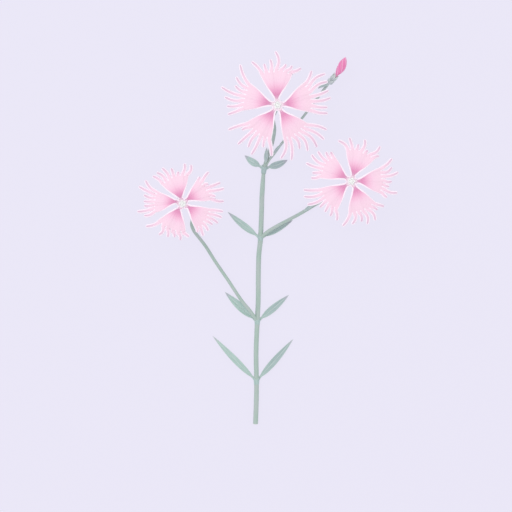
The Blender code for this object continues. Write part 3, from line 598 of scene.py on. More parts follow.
def follow(route):
    """A function from a distance along the route to its frame there, and the route's length.

    A frame is the place and two directions across, turned along so that they never twist.
    """
    total = [0.0]
    for a, b in zip(route, route[1:]):
        total.append(total[-1] + (b - a).length)
    count = max(2, round(total[-1]))
    places, leg = [], 0
    for k in range(count + 1):
        station = total[-1] * k / count
        while leg < len(route) - 2 and total[leg + 1] < station:
            leg += 1
        share = (station - total[leg]) / (total[leg + 1] - total[leg])
        places.append(route[leg].lerp(route[leg + 1], min(1.0, share)))
    side = (places[1] - places[0]).cross(UP).normalized()
    frames = []
    for k, place in enumerate(places):
        ahead = (places[min(k + 1, count)] - places[max(k - 1, 0)]).normalized()
        side = (side - ahead * side.dot(ahead)).normalized()
        frames.append((place, side, side.cross(ahead)))

    def frame_at(station):
        share = min(max(station / total[-1], 0.0), 1.0) * count
        k = min(int(share), count - 1)
        return [a.lerp(b, share - k) for a, b in zip(frames[k], frames[k + 1])]

    return frame_at, total[-1]


SEARCH_STEP = 0.25      # mm


def station_of(frame_at, length, place):
    """The distance along a route that comes nearest to a place in plan."""
    return min((k * SEARCH_STEP for k in range(round(length / SEARCH_STEP))),
               key=lambda s: (frame_at(s)[0].xy - Vector(place)).length)


print("A bend of", BEND_RADIUS, "mm lifts each bloom in", BEND_STEPS, "steps")

# %% Routes of the stem, the branches and the bud's stalk
joint = {name: Vector((*place, JOINT_Z)) for name, place in JOINTS.items()}
BUD_FOOT = Vector((30.4, 76.9, 6.6))
BUD_MOUTH = Vector((34.2, 81.0, 7.6))
main_way = [Vector((-6.0, -93.0, CUT_RADIUS * FLAT)), Vector((-5.6, -81.5, JOINT_Z)),
            joint["bottom"], Vector((-5.7, -56.5, JOINT_Z)), joint["second"],
            Vector((-4.65, -31.0, JOINT_Z)), Vector((-4.6, -21.0, JOINT_Z)),
            Vector((-4.35, -9.0, JOINT_Z)), joint["third"], Vector((-2.95, 14.0, JOINT_Z)),
            Vector((-2.7, 22.0, JOINT_Z)), joint["top"], Vector((0.0, 40.5, 1.1)),
            Vector((1.9, 45.8, 0.95)), Vector((3.0, 50.0, 0.85)), Vector((3.55, 54.8, NECK_Z))]
left_way = [joint["second"], Vector((-6.9, -38.9, 2.7)), Vector((-9.0, -36.0, OVER_LEAF_Z)),
            Vector((-13.25, -30.8, OVER_LEAF_Z)), Vector((-19.75, -21.0, 2.3)),
            Vector((-26.2, -11.6, 1.2)), Vector((-30.6, -4.6, 0.85)),
            Vector((-34.3, 0.3, NECK_Z)), Vector((-36.8, 3.6, NECK_Z)),
            Vector((-37.95, 7.0, NECK_Z)), Vector((-37.15, 10.2, NECK_Z))]
right_way = [joint["third"], Vector((-0.9, 2.4, 2.7)), Vector((1.5, 4.1, OVER_LEAF_Z)),
             Vector((6.2, 6.8, OVER_LEAF_Z)), Vector((11.75, 9.7, 2.3)),
             Vector((17.4, 12.8, 1.2)), Vector((22.9, 16.1, 0.85)),
             Vector((29.0, 19.7, NECK_Z))]
bud_way = [joint["top"], Vector((0.6, 38.7, 1.3)), Vector((3.75, 42.6, 1.2)),
           Vector((7.75, 48.0, 1.2)), Vector((18.75, 61.7, 3.0)),
           BUD_FOOT - (BUD_MOUTH - BUD_FOOT).normalized() * GAP]
main_route = follow(whole_route(main_way, BLOOMS["top"]))
left_route = follow(whole_route(left_way, BLOOMS["left"]))
right_route = follow(whole_route(right_way, BLOOMS["right"]))
bud_route = follow(smooth_route(bud_way))
for name, (_, length) in (("stem", main_route), ("left branch", left_route),
                          ("right branch", right_route), ("bud's stalk", bud_route)):
    print("Length of the", name, "in mm:", round(length, 1))

# %% Grow the stem and its branches
STEM_SIDES = 24
RING = 1.0          # mm between rings
# Distance along and share of the radius: the pith is sunk, and the skin round it is a soft rim
CUT_RINGS = ((0.2, 0.0), (0.18, 0.4), (0.06, 0.6), (0.0, 0.74), (0.06, 0.86), (0.25, 0.95),
             (0.6, 1.0))
END_RINGS = ((0.25, 1.0), (0.06, 0.9), (0.0, 0.7), (0.0, 0.0))     # counted back from the end


def grow_shoot(name, route, radii, joints=(), node=None):
    """A stem with a sunk cut and a rounded end. radii are pairs of share of length and radius."""
    frame_at, length = route
    swellings = [station_of(frame_at, length, JOINTS[joint_name]) for joint_name in joints]
    rings = list(CUT_RINGS)
    steps = round(length / RING)
    rings += [(length * k / steps, 1.0) for k in range(1, steps)]
    rings += [(length - back, share) for back, share in END_RINGS]

    def shape(ring, angle):
        station, share = ring
        plain = through(radii, station / length)
        near = min((abs(station - place) for place in swellings), default=JOINT_FADE)
        swelling = min(1.0, max(0.0, (JOINT_FADE - near) / (JOINT_FADE - JOINT_HALF)))
        swelling *= swelling * (3 - 2 * swelling)
        return station, share * (plain + max(0.0, JOINT_RADIUS - plain) * swelling)

    bm = new_shape()
    grow_tube(bm, frame_at, rings, STEM_SIDES, shape)
    for vert in bm.verts:
        vert.co.z = max(vert.co.z, 0.0)
    return keep(name, bm, stem_skin, node)


stem = grow_shoot("stem_main", main_route,
                  ((0.0, CUT_RADIUS), (0.12, STEM_RADIUS), (0.72, STEM_RADIUS), (0.77, 0.9),
                   (0.8, NECK_RADIUS), (0.98, NECK_RADIUS), (1.0, 1.0)), JOINTS, "stem")
branch_radii = ((0.0, NECK_RADIUS), (0.98, NECK_RADIUS), (1.0, 1.0))
grow_shoot("stem_branch_left", left_route, branch_radii)
grow_shoot("stem_branch_right", right_route, branch_radii)
grow_shoot("stem_bud_stalk", bud_route, ((0.0, 0.7), (0.3, BUD_STALK_RADIUS), (1.0, 0.7)))
print("Faces on the main stem:", len(stem.data.polygons))

# %% [markdown]
# ## Leaf sheaths
# In a pink the two leaves of a pair are joined at their feet into a short sleeve that wraps the
# joint. It hides where the branches leave the stem, and it is the mark of the family. It could
# be a swelling of the stem's own tube, but a sheet of its own has a free edge. So each is a tube
# a little wider than the joint, with a rim that rises towards its two leaves.

# %% Grow a sheath round each joint
SHEATH_LOW = -2.2       # mm from the joint's middle
SHEATH_HIGH = 1.5
SHEATH_WAVE = 0.7       # rise of the rim towards the leaves
SHEATH_PROFILE = ((0.0, 1.2), (0.3, 1.31), (0.65, 1.4), (1.0, 1.42))     # share and radius
SHEATH_STEPS = 14
SHEATH_WALL = 0.14
SHEATH_GREEN = 10.0     # mm, far enough from a leaf's tip in flow to have nothing of its mauve


def grow_sheath(name, route, middle):
    """A sleeve round the joint whose middle is at this distance along the stem."""
    frame_at, _ = route
    length = SHEATH_HIGH - SHEATH_LOW

    def place(along, across):
        angle = 2 * math.pi * across
        station = middle + SHEATH_LOW + along * length
        station += SHEATH_WAVE * along ** 3 * math.cos(2 * angle)
        radius = through(SHEATH_PROFILE, along)
        centre, side, other = frame_at(station)
        point = centre + (side * math.cos(angle) + other * math.sin(angle)) * radius
        point.z = max(point.z, 0.0)
        from_tip = SHEATH_GREEN + SHEATH_HIGH - (station - middle)
        return point, (from_tip, radius * abs(angle - math.pi), (1 - along) * length)

    bm = new_shape()
    grow_sheet(bm, SHEATH_STEPS, STEM_SIDES, place, weld=True)
    return keep(name, bm, leaf_blade, wall=SHEATH_WALL, offset=-1.0)


for joint_name, place in JOINTS.items():
    middle = station_of(*main_route, place)
    grow_sheath("sheath_" + joint_name, main_route, middle)
    print("Sheath", joint_name, "at", round(middle, 1), "mm along the stem")

# %% [markdown]
# ## Leaves
# The leaves are lance-shaped straps with a shallow groove over the middle rib. A drawn outline
# could be filled and bent, but in a grid every vertex knows how far along and across it lies, and
# the veins need that. The grid takes its outline from a sine whose widest place is pushed towards
# the base, bends up along its margins into a slight keel, and droops along a curve through its
# height at the base, the middle and the tip. Behind the solid's base the fine blade runs on, low
# and narrow, into the sheath. The bracts are small leaves, and the same function grows them.

# %% Grow the leaves
LEAF_START = 2.6        # where the solid's leaf starts, from its joint's middle
LEAF_ROOT = 1.1         # where the fine leaf meets the sheath
LEAF_ALONG = 72
LEAF_ACROSS = 16
LEAF_WALL = 0.5
LEAF_RIM = 0.3          # the margin's share of that thickness
LEAF_PUSH = 0.75        # below 1 the leaf is widest nearer to its base
LEAF_FULLNESS = 0.8     # below 1 its sides are fuller than a sine
LEAF_FOOT = 0.34        # least share of the width at the base
LEAF_POINT = 0.13       # least share of the width near the tip
LEAF_KEEL = 0.22        # rise of the margins for each mm of half width
ROOT_FLARE = 0.35       # how much the foot widens again where it meets the sheath
RIB_GROOVE = 0.16       # depth of the groove over the rib
RIB_WIDTH = 0.28
SHORT_LEAF = 15.0       # below this length the dry tip shortens with the leaf


def grow_leaf(name, base, tip, width, heights, bow):
    """A blade from base to tip in plan; heights are at the base, the middle and the tip."""
    root = 0.0
    if base in JOINTS:
        middle = Vector(JOINTS[base])
        base = middle + (Vector(tip) - middle).normalized() * LEAF_START
        root = LEAF_START - LEAF_ROOT
    start = Vector((*base, 0.0))
    span = Vector((*tip, 0.0)) - start
    length, ahead = span.length, span.normalized()
    aside = UP.cross(ahead)
    low, half_way, high = heights

    def place(along, across):
        across = 2 * across - 1
        out = -root + (length + root) * along
        t = max(0.0, out / length)
        outline = math.sin(math.pi * t ** LEAF_PUSH) ** LEAF_FULLNESS if 0 < t < 1 else 0.0
        least = LEAF_FOOT * (1 - t) + LEAF_POINT * t * (1 - t ** 6)
        half = width / 2 * max(outline, least)
        rise = low * (1 - t) * (1 - 2 * t) + 4 * half_way * t * (1 - t) + high * t * (2 * t - 1)
        if out < 0:
            rise += (JOINT_Z - low) * out / -root
            half *= 1 + ROOT_FLARE * out / -root
        y = half * across
        rise += LEAF_KEEL * half * across ** 2
        rise -= RIB_GROOVE * math.exp(-(y / RIB_WIDTH) ** 2) * (1 - t) ** 0.5
        point = start + ahead * out + aside * (y + 4 * bow * t * (1 - t)) + UP * rise
        from_tip = (length - out) * max(1.0, SHORT_LEAF / length)
        return point, (from_tip, y, half - abs(y))

    bm = new_shape()
    grow_sheet(bm, LEAF_ALONG, LEAF_ACROSS, place)
    return keep(name + "_blade", bm, leaf_blade, name, wall=LEAF_WALL, rim=LEAF_RIM)


# Name, joint or plan place of the base, plan place of the tip, width, three heights and bow, in mm
LEAVES = (
    ("leaf_bottom_left", "bottom", (-27.3, -49.0), 3.2, (0.9, 1.4, 0.7), 0.25),
    ("leaf_bottom_right", "bottom", (12.75, -50.6), 3.4, (0.9, 1.3, 0.7), -0.1),
    ("leaf_second_left", "second", (-21.25, -27.0), 4.0, (0.6, 0.75, 0.7), 0.3),
    ("leaf_second_right", "second", (10.6, -28.5), 3.5, (0.9, 1.3, 0.7), -0.1),
    ("leaf_third_left", "third", (-19.8, 13.0), 3.4, (0.9, 1.3, 0.7), 0.3),
    ("leaf_third_right", "third", (12.6, 8.9), 3.0, (0.6, 0.75, 0.7), -0.1),
    ("leaf_top_left", "top", (-11.4, 41.3), 3.5, (0.9, 1.4, 0.8), 0.4),
    ("leaf_top_right", "top", (10.1, 39.0), 3.6, (0.9, 1.4, 0.8), -0.4),
    ("bract_main", (-0.9, 37.6), (-0.3, 45.2), 2.0, (2.65, 2.75, 2.6), 0.1),
    ("bract_fork", (2.9, 41.8), (7.6, 47.3), 1.6, (2.4, 3.2, 3.9), 0.2),
    ("bract_right", (18.2, 13.4), (24.5, 17.3), 1.6, (2.5, 2.4, 2.3), 0.3),
    ("bract_bud", (30.3, 76.2), (25.1, 74.2), 2.1, (7.65, 7.35, 6.9), -0.8),
)
for row in LEAVES:
    blade = grow_leaf(*row)
print("Leaves and bracts:", len(LEAVES), "with", len(blade.data.polygons), "quads each")

# %% [markdown]
# ## Calyx tubes
# Each bloom stands in a long green tube, the calyx, that ends in five pointed teeth and has a
# cuff of four broad scales at its foot. A profile spun round an axis would give a plain tube.
# Rings whose radius and height change with the angle give the ribs and the teeth in one go, and
# real ribs catch the light from the side. The tube is grown in its own upright coordinates, with
# the throat at height zero, and is then leaned over with the whole bloom.

# %% Where each bloom sits
def bloom_seat(bloom):
    """The matrix that puts a bloom's upright coordinates in the frame."""
    throat, _, foot = bloom_frame(bloom)
    lean = Matrix.Rotation(math.radians(bloom["lean"]), 4, UP.cross(-foot))
    return Matrix.Translation(throat * MM) @ lean


def turned(seat, azimuth):
    """The same seat, turned about the bloom's own axis."""
    return seat @ Matrix.Rotation(math.radians(azimuth), 4, "Z")


def upright(station):
    """The frame on a straight upright line, for tubes that are grown in place on it."""
    return Vector((0, 0, station)), Vector((1, 0, 0)), Vector((0, 1, 0))


for side, bloom in BLOOMS.items():
    print("The", side, "bloom leans", bloom["lean"], "degrees")

# %% Grow a calyx
CALYX_TEETH = 5
RIBS_PER_TOOTH = 5
RIB_SIDES = 4           # faces for each rib
RIB_HEIGHT = 0.07
CALYX_WALL = 0.45
CALYX_STEPS = 44
# Height over the throat and radius in mm
CALYX_PROFILE = ((-22.0, 1.0), (-20.7, 1.9), (-18.0, 2.35), (-4.6, 2.3), (-0.2, 2.3))
CALYX_NOTCH = -3.4      # height of the cuts between the teeth, in the same terms
TOOTH_TIP = -0.2        # and of their tips
TOOTH_CURVE = 1.6       # above 1 the teeth are drawn out into points
TOOTH_START = 5         # power of the way up with which the level rings turn into teeth
RIB_START = 1 / 6       # share of the way up where the ribs reach their full height
CUP_RINGS = 5           # rings that close the foot


def grow_calyx(name, node, seat, profile, notch, tip, steps, green=0.0):
    """A ribbed tube from its closed foot to its teeth. green is how far the green part moves up."""
    foot = profile[0][0]
    sides = CALYX_TEETH * RIBS_PER_TOOTH * RIB_SIDES
    pitch = 2 * math.pi / CALYX_TEETH
    rings = [(0.0, k / CUP_RINGS) for k in range(CUP_RINGS)]
    rings += [(k / steps, 1.0) for k in range(steps + 1)]

    def shape(ring, angle):
        share, closing = ring
        aside = abs((angle + pitch / 2) % pitch - pitch / 2) / (pitch / 2)
        station = foot + share * (notch - foot)
        station += share ** TOOTH_START * (tip - notch) * (1 - aside) ** TOOTH_CURVE
        rib = RIB_HEIGHT * math.cos(angle * CALYX_TEETH * RIBS_PER_TOOTH) * closing
        rib *= min(1.0, share / RIB_START)
        return station, through(profile, station) * closing + rib

    bm = new_shape()
    grow_tube(bm, upright, rings, sides, shape)
    flow = bm.verts.layers.float_vector["flow"]
    for vert in bm.verts:
        from_mouth = tip - vert[flow].x + green
        vert[flow] = (from_mouth, vert[flow].y, vert[flow].z)
    return keep(name, bm, calyx_skin, node, seat, wall=CALYX_WALL, offset=-1.0)


for side, bloom in BLOOMS.items():
    calyx = grow_calyx("calyx_" + side + "_tube", "calyx_" + side,
                       turned(bloom_seat(bloom), bloom["teeth"]), CALYX_PROFILE, CALYX_NOTCH,
                       TOOTH_TIP, CALYX_STEPS)
    print("Calyx", side, "has", len(calyx.data.polygons), "faces")

# %% Grow the scales round its foot
SCALE_COUNT = 4
SCALE_HALF = 52.0       # degrees that a scale wraps to each side
SCALE_WALL = 0.25
SCALE_RIM = 0.35        # the margin's share of that thickness
SCALE_LAP = 0.12        # mm that the outer pair stands off the inner pair at the foot
SCALE_GREEN = 7.2       # mm that a scale's tip counts as being below the calyx's mouth, in flow
SCALE_ALONG = 24
SCALE_ACROSS = 14
# Height over the throat and radius in mm
SCALE_PROFILE = ((-21.3, 1.85), (-20.0, 2.4), (-18.0, 2.6), (-15.8, 2.62), (-12.6, 2.58))
# Share of the way up a scale and share of its full wrap
SCALE_OUTLINE = ((0.0, 0.75), (0.25, 1.0), (0.5, 0.92), (0.75, 0.55), (0.9, 0.2), (1.0, 0.02))


def grow_scales(name, seat, profile, lap):
    """Scales in two crossed pairs, the second pair a little further out."""
    foot, tip = profile[0][0], profile[-1][0]
    bm = new_shape()
    for k in range(SCALE_COUNT):
        outer = lap * (k % 2)
        turn = 2 * math.pi * k / SCALE_COUNT

        def place(along, across):
            across = 2 * across - 1
            station = foot + (tip - foot) * along
            spread = math.radians(SCALE_HALF) * through(SCALE_OUTLINE, along)
            radius = through(profile, station) + outer * (1 - along)
            angle = turn + across * spread
            y = across * spread * radius
            point = Vector((radius * math.cos(angle), radius * math.sin(angle), station))
            return point, (tip - station + SCALE_GREEN, y, spread * radius * (1 - abs(across)))

        grow_sheet(bm, SCALE_ALONG, SCALE_ACROSS, place)
    return keep(name, bm, calyx_skin, seat=seat, wall=SCALE_WALL, rim=SCALE_RIM)


for side, bloom in BLOOMS.items():
    grow_scales("calyx_" + side + "_scales", turned(bloom_seat(bloom), bloom["teeth"]),
                SCALE_PROFILE, SCALE_LAP)
print("Scales on each calyx:", SCALE_COUNT)

# %% [markdown]
# ## Petals
# A petal of a fringed pink is a narrow claw that stands in the calyx, then turns outwards over
# the throat into a fan-shaped limb. The limb's outer edge is cut into threads that taper, curl
# and drift sideways, no two alike. Threads could be cut out of a wide fan, but then their sides
# would follow the grid's steps. Here the claw and the limb are one grid bent over the throat, and
# each thread is extruded from its own stretch of the limb's edge, step by step, so limb and
# threads are one skin with smooth sides. The random draws are seeded and come in the same order
# as in the solid, so each fine thread lies on its solid one.
#
# Round the throat the feet of the five petals widen until each laps over the one before it. That
# closes the mouth of the tube round the stamens, where the picture has one pale spot.

# %% Rings of a petal
# Radius from the bloom's axis, height over the throat, half width in mm, share of the foot's
# turn, and share of the way that the petal's sides have gone to meet those of its neighbours
CLAW_RINGS = ((1.15, -17.6, 0.4, 0.0, 0.0), (1.15, -3.0, 0.4, 0.0, 0.0),
              (0.8, -1.2, 0.45, 0.0, 0.0), (0.6, -0.4, 0.4, 0.0, 1.0),
              (1.0, 0.1, 0.7, 0.0, 1.0), (1.7, 0.45, 1.0, 0.1, 1.0),
              (2.5, 0.8, 1.2, 0.5, 1.0), (2.95, 1.0, 1.3, 0.8, 0.1),
              (3.4, 1.2, 1.42, 1.0, 0.0))
# Share of the limb's radius, height over the throat, shares of the half spread and of the turn
LIMB_RINGS = ((0.30, 1.75, 0.88, 0.65), (0.52, 2.2, 1.0, 0.25), (0.76, 2.0, 1.02, 0.0),
              (1.0, 1.1, 1.0, 0.0))
RING_STEPS = (5, 2, 2, 2, 3, 3, 3, 3, 5, 9, 10, 12)   # rings in each stretch between those above
LAP_ANGLE = 2.5         # degrees that the sides of neighbours lap round the throat
LAP_STEP = 0.07         # mm that each petal lies over the one before it there
LANE_COLUMNS = 6        # columns of faces in each thread
CLAW_TOP = -1.0         # height below which the claw counts as hidden, with none of the pink
CLAW_REACH = 1.5        # mm from the axis within which it does
RUFFLE = 0.35           # height of the waves along the fringe
RUFFLE_START = 0.3      # share of the limb's radius where the waves begin
RUFFLE_TURN = 7.0       # radians of wave from the middle of a limb to its side
PLEAT = 0.06            # mm, folds that fan out from the throat
PLEATS = 7.0
PLEAT_START = 2.5       # mm from the axis where the folds begin
PLEAT_FADE = 3.0        # mm over which they reach their full height
NOTCH_DEPTH = (0.0, 0.6)        # mm that the cuts between threads reach into the limb
NOTCH_BREADTH = 0.75            # share of a thread's stretch over which a cut fades
NOTCH_DRAW = 5                  # power of the way out with which a cut draws the limb in


def petal_rings(bloom, spread):
    """Curves of radius, height, half angle, turn and lap against the ring's number."""
    rings = [(r, h, half / r, turn, lap) for r, h, half, turn, lap in CLAW_RINGS]
    rings += [(share * bloom["limb"], h, part * spread, turn, 0.0)
              for share, h, part, turn in LIMB_RINGS]
    return [[(k, ring[part]) for k, ring in enumerate(rings)] for part in range(5)]


ring_places = [k + step / steps for k, steps in enumerate(RING_STEPS) for step in range(steps)]
ring_places.append(float(len(RING_STEPS)))
print("Rings from the claw's foot to the threads:", len(ring_places))

# %% Threads of the fringe
# Share of the way along and width in mm
THREAD_WIDTHS = ((0.0, 2.2), (0.17, 2.2), (0.43, 2.1), (0.72, 1.95), (0.92, 1.7),
                 (0.98, 1.2), (1.0, 0.4))
THREAD_STEPS = (0.05, 0.11, 0.18, 0.25, 0.33, 0.41, 0.5, 0.59, 0.68, 0.77, 0.86, 0.93, 0.97,
                0.99, 1.0)
THREAD_FLARE = 1.8      # mm over which a thread widens to its stretch of the limb
THREAD_ROOM = 1.15      # greatest width at the root, as a share of the limb's stretch there
THREAD_EASE = 1.2       # above 1 a thread leaves the limb straight and drifts later
THREAD_DROOP = 0.22     # fall of a thread for each unit of its length
THREAD_CROWN = 0.18     # rise of its middle over its sides for each mm of half width
THREAD_CURL = (-1.2, 1.6)       # least and greatest lift of a tip
THREAD_VEIN = 2.0       # degrees of flow from a thread's middle to its side, for the veins


def grow_thread(bm, verts, edges, limb, lane):
    """One thread, extruded from its stretch of the limb's edge. lane holds its draws."""
    flow = bm.verts.layers.float_vector["flow"]
    column = bm.verts.layers.float["column"]
    length = lane["length"]
    for k, vert in enumerate(verts):
        vert[column] = 2 * k / LANE_COLUMNS - 1
    height = (verts[0].co.z + verts[-1].co.z) / 2 / MM
    root_half = (verts[-1].co - verts[0].co).length / 2 / MM
    flare = min(0.5, THREAD_FLARE / length)
    before = plan(lane["root"]) * limb
    for t in THREAD_STEPS:
        radius = limb + length * t
        azimuth = lane["root"] + lane["drift"] * t ** THREAD_EASE
        azimuth += math.degrees(lane["bow"] * math.sin(math.pi * t) / radius)
        middle = plan(azimuth) * radius
        across = UP.cross(middle - before).normalized()
        before = middle
        half = min(through(THREAD_WIDTHS, t) / 2, THREAD_ROOM * root_half * (1 + t))
        half += max(0.0, root_half - half) * max(0.0, 1 - t / flare) ** 2
        level = height - THREAD_DROOP * length * t + lane["curl"] * t ** 2
        grown = bmesh.ops.extrude_edge_only(bm, edges=edges)["geom"]
        edges = [item for item in grown if isinstance(item, bmesh.types.BMEdge)]
        for vert in grown:
            if isinstance(vert, bmesh.types.BMVert):
                offset = vert[column]
                crown = THREAD_CROWN * half * (1 - offset ** 2)
                vert.co = (middle + across * offset * half + UP * (level + crown)) * MM
                vert[flow] = (1 + t, azimuth + THREAD_VEIN * offset, half * (1 - abs(offset)))


print("Steps along a thread:", len(THREAD_STEPS))

# %% Grow the petals
PETAL_WALL = 0.26
PETAL_RIM = 0.4         # the margin's share of that thickness


def last_ring(verts, columns, rings):
    """The grid's last ring, in order across. The grid operator fills one row at a time."""
    return [verts[(k + 1) * rings - 1] for k in range(columns + 1)]


def grow_petal(name, node, seat, bloom, index):
    """A claw, a limb and its threads, pointing along +X from the bloom's axis."""
    draws = random.Random(bloom["seed"] * 10 + index)
    cuts = random.Random(bloom["seed"] * 100 + index)
    facing, spread, foot_turn = bloom["petals"][index]
    limb, threads = bloom["limb"], bloom["fringe"][index]
    count = len(threads)
    curves = petal_rings(bloom, math.radians(spread))
    before, after = [bloom["petals"][(index + step) % 5][0] for step in (-1, 1)]
    shares = (((facing - before) % 360) / 2, ((after - facing) % 360) / 2)
    to_sides = [math.radians(share + LAP_ANGLE) for share in shares]
    waves = draws.uniform(0, 2 * math.pi)
    notches = [(2 * k / count - 1, cuts.uniform(*NOTCH_DEPTH)) for k in range(count + 1)]

    def place(along, across):
        ring = ring_places[round(along * (len(ring_places) - 1))]
        across = 2 * across - 1
        radius, height, half, turn, lap = [through(curve, ring) for curve in curves]
        half += (to_sides[across > 0] - half) * lap
        height += LAP_STEP * index * lap
        outer = min(1.0, max(0.0, (radius / limb - RUFFLE_START) / (1 - RUFFLE_START)))
        height += RUFFLE * outer * math.sin(waves + across * RUFFLE_TURN)
        pleated = min(1.0, max(0.0, (radius - PLEAT_START) / PLEAT_FADE))
        height += PLEAT * pleated * math.cos(across * math.pi * PLEATS)
        cut = sum(depth * math.exp(-((across - where) * count / NOTCH_BREADTH) ** 2)
                  for where, depth in notches)
        angle = across * half
        nearest, depth = min(notches[1:-1], key=lambda notch: abs(notch[0] - across))
        aside = (across - nearest) * half * radius
        margin = min((1 - abs(across)) * half * radius,
                     math.hypot(aside, max(0.0, limb - depth - radius)))
        radius -= cut * outer ** NOTCH_DRAW
        turned_angle = angle + math.radians(foot_turn) * turn
        point = Vector((radius * math.cos(turned_angle), radius * math.sin(turned_angle), height))
        way_out = radius / limb if height > CLAW_TOP or radius > CLAW_REACH else 0.0
        return point, (way_out, math.degrees(angle), margin)

    bm = new_shape()
    column = bm.verts.layers.float.new("column")
    verts = grow_sheet(bm, len(ring_places) - 1, count * LANE_COLUMNS, place)
    edge = last_ring(verts, count * LANE_COLUMNS, len(ring_places))
    for k, (tip, length, bow) in enumerate(threads):
        ends = edge[k * LANE_COLUMNS:(k + 1) * LANE_COLUMNS + 1]
        edges = [bm.edges.get(pair) for pair in zip(ends, ends[1:])]
        root = ((2 * k + 1) / count - 1) * spread
        lane = dict(length=length, root=root, drift=tip - facing - root, bow=bow,
                    curl=draws.uniform(*THREAD_CURL))
        grow_thread(bm, ends, edges, limb, lane)
    bm.verts.layers.float.remove(column)
    return keep(name, bm, petal_tissue, node, seat, wall=PETAL_WALL, rim=PETAL_RIM)


for side, bloom in BLOOMS.items():
    for index, (azimuth, *_) in enumerate(bloom["petals"]):
        node = f"petal_{side}_{index + 1}"
        petal = grow_petal(node + "_fringed", node, turned(bloom_seat(bloom), azimuth), bloom,
                           index)
    print("Petals of the", side, "bloom:", index + 1, "of", len(petal.data.polygons), "quads")

# %% [markdown]
# ## Stamens and styles
# In the throat stand ten thin stamens, five long ones and five short ones between them, and two
# curved styles. On the real plant all of them spring from low in the tube. The tube hides that,
# so one column from the calyx floor stands for the lower parts, and it widens to a pale head in
# the throat that closes the view down. A stalk could be a curve with a bevel, but the tube
# function along a bent route gives it its flow and closes its ends. An anther is a sphere
# stretched to the shape of a grain.

# %% Grow what stands in the throat
# Height over the throat and radius in mm
COLUMN = ((-21.1, 0.4), (-8.0, 0.45), (0.1, 0.5), (0.7, 1.0), (1.3, 1.1), (1.7, 0.8))
COLUMN_SIDES = 16
COLUMN_FIRST = 0.2      # mm from the column's foot to its first full ring
COLUMN_STEP = 0.5       # mm between the rings
COLUMN_RINGS = 46
COLUMN_EDGE = 0.7       # share of the radius at which both ends turn in
STAMENS = 5             # of each kind
STAMEN_AZIMUTH = 36.0
STAMEN_TIP = (1.35, 1.6, 2.4)       # distance from the axis, least and greatest height
SHORT_TIP = (1.15, 1.4)             # distance from the axis and height
STAMEN_RADII = (0.18, 0.1)          # at the foot and at the tip
STYLES = 2
STYLE_AZIMUTH = 18.0
STYLE_TIP = (0.55, 3.6)
STYLE_RADII = (0.26, 0.12)
STALK_ROOT = (0.15, -1.5)           # distance from the axis and height
STALK_BEND = 0.1                    # how far a stalk bows out, as a share of its tip's distance
STALK_SIDES = 8
STALK_RINGS = 12
STALK_CAP = (0.04, 0.8)             # mm before the tip and share of the radius there
ANTHER_SIZE = (0.36, 0.62, 0.3)     # half sizes in mm


def grow_stalk(bm, azimuth, distance, height, foot_radius, tip_radius):
    """A bent stalk from the column to a tip, closed at both ends."""
    root = plan(azimuth) * STALK_ROOT[0] + UP * STALK_ROOT[1]
    tip = plan(azimuth) * distance + UP * height
    bend = root.lerp(tip, 0.5) + plan(azimuth) * STALK_BEND * distance
    frame_at, length = follow(smooth_route([root, bend, tip]))
    rings = [(0.0, 0.0)] + [(length * k / STALK_RINGS, 1.0) for k in range(STALK_RINGS)]
    rings += [(length - STALK_CAP[0], STALK_CAP[1]), (length, 0.0)]

    def shape(ring, angle):
        station, share = ring
        return station, share * (foot_radius + (tip_radius - foot_radius) * station / length)

    grow_tube(bm, frame_at, rings, STALK_SIDES, shape)
    return tip


def grow_anther(bm, tip, azimuth):
    """A grain-shaped anther that lies across its stalk."""
    flow = bm.verts.layers.float_vector["flow"]
    size = Matrix.Diagonal((*[half * MM for half in ANTHER_SIZE], 1.0))
    turn = Matrix.Rotation(math.radians(azimuth), 4, "Z")
    grain = bmesh.ops.create_uvsphere(bm, u_segments=12, v_segments=8, radius=1.0,
                                      matrix=Matrix.Translation(tip * MM) @ turn @ size)
    for vert in grain["verts"]:
        vert[flow] = vert.co / MM


def grow_pistil(name, node, seat, bloom):
    """The column, its styles, and its long and short stamens with their anthers, as one piece."""
    draws = random.Random(bloom["seed"])
    foot, head = COLUMN[0][0], COLUMN[-1][0]
    rings = [(foot, 0.0), (foot, COLUMN_EDGE)]
    rings += [(foot + COLUMN_FIRST + COLUMN_STEP * k, 1.0) for k in range(COLUMN_RINGS)]
    rings += [(head, COLUMN_EDGE), (head, 0.0)]

    def shape(ring, angle):
        height, share = ring
        return height, share * through(COLUMN, height)

    bm = new_shape()
    grow_tube(bm, upright, rings, COLUMN_SIDES, shape)
    for k in range(STYLES):
        grow_stalk(bm, STYLE_AZIMUTH + k * 360 / STYLES, *STYLE_TIP, *STYLE_RADII)
    distance, least, greatest = STAMEN_TIP
    for k in range(STAMENS):
        azimuth = STAMEN_AZIMUTH + k * 360 / STAMENS
        between = azimuth + 180 / STAMENS
        tip = grow_stalk(bm, azimuth, distance, draws.uniform(least, greatest), *STAMEN_RADII)
        grow_anther(bm, tip, azimuth)
        tip = grow_stalk(bm, between, *SHORT_TIP, *STAMEN_RADII)
        grow_anther(bm, tip, between)
    return keep(name, bm, stamen_tissue, node, seat)


for side, bloom in BLOOMS.items():
    pistil = grow_pistil("pistil_" + side + "_stamens", "pistil_" + side,
                         turned(bloom_seat(bloom), bloom["teeth"]), bloom)
    print("Stamens and styles of the", side, "bloom:", len(pistil.data.polygons), "faces")

# %% [markdown]
# ## The bud
# The bud is a small calyx like the blooms', with five petals rolled round each other above it
# like a furled umbrella. One solid of revolution would lose that, so each petal is its own sheet
# that wraps most of a half turn, with one edge tucked under its neighbour and the other lying on
# top. They twist together towards the tip.

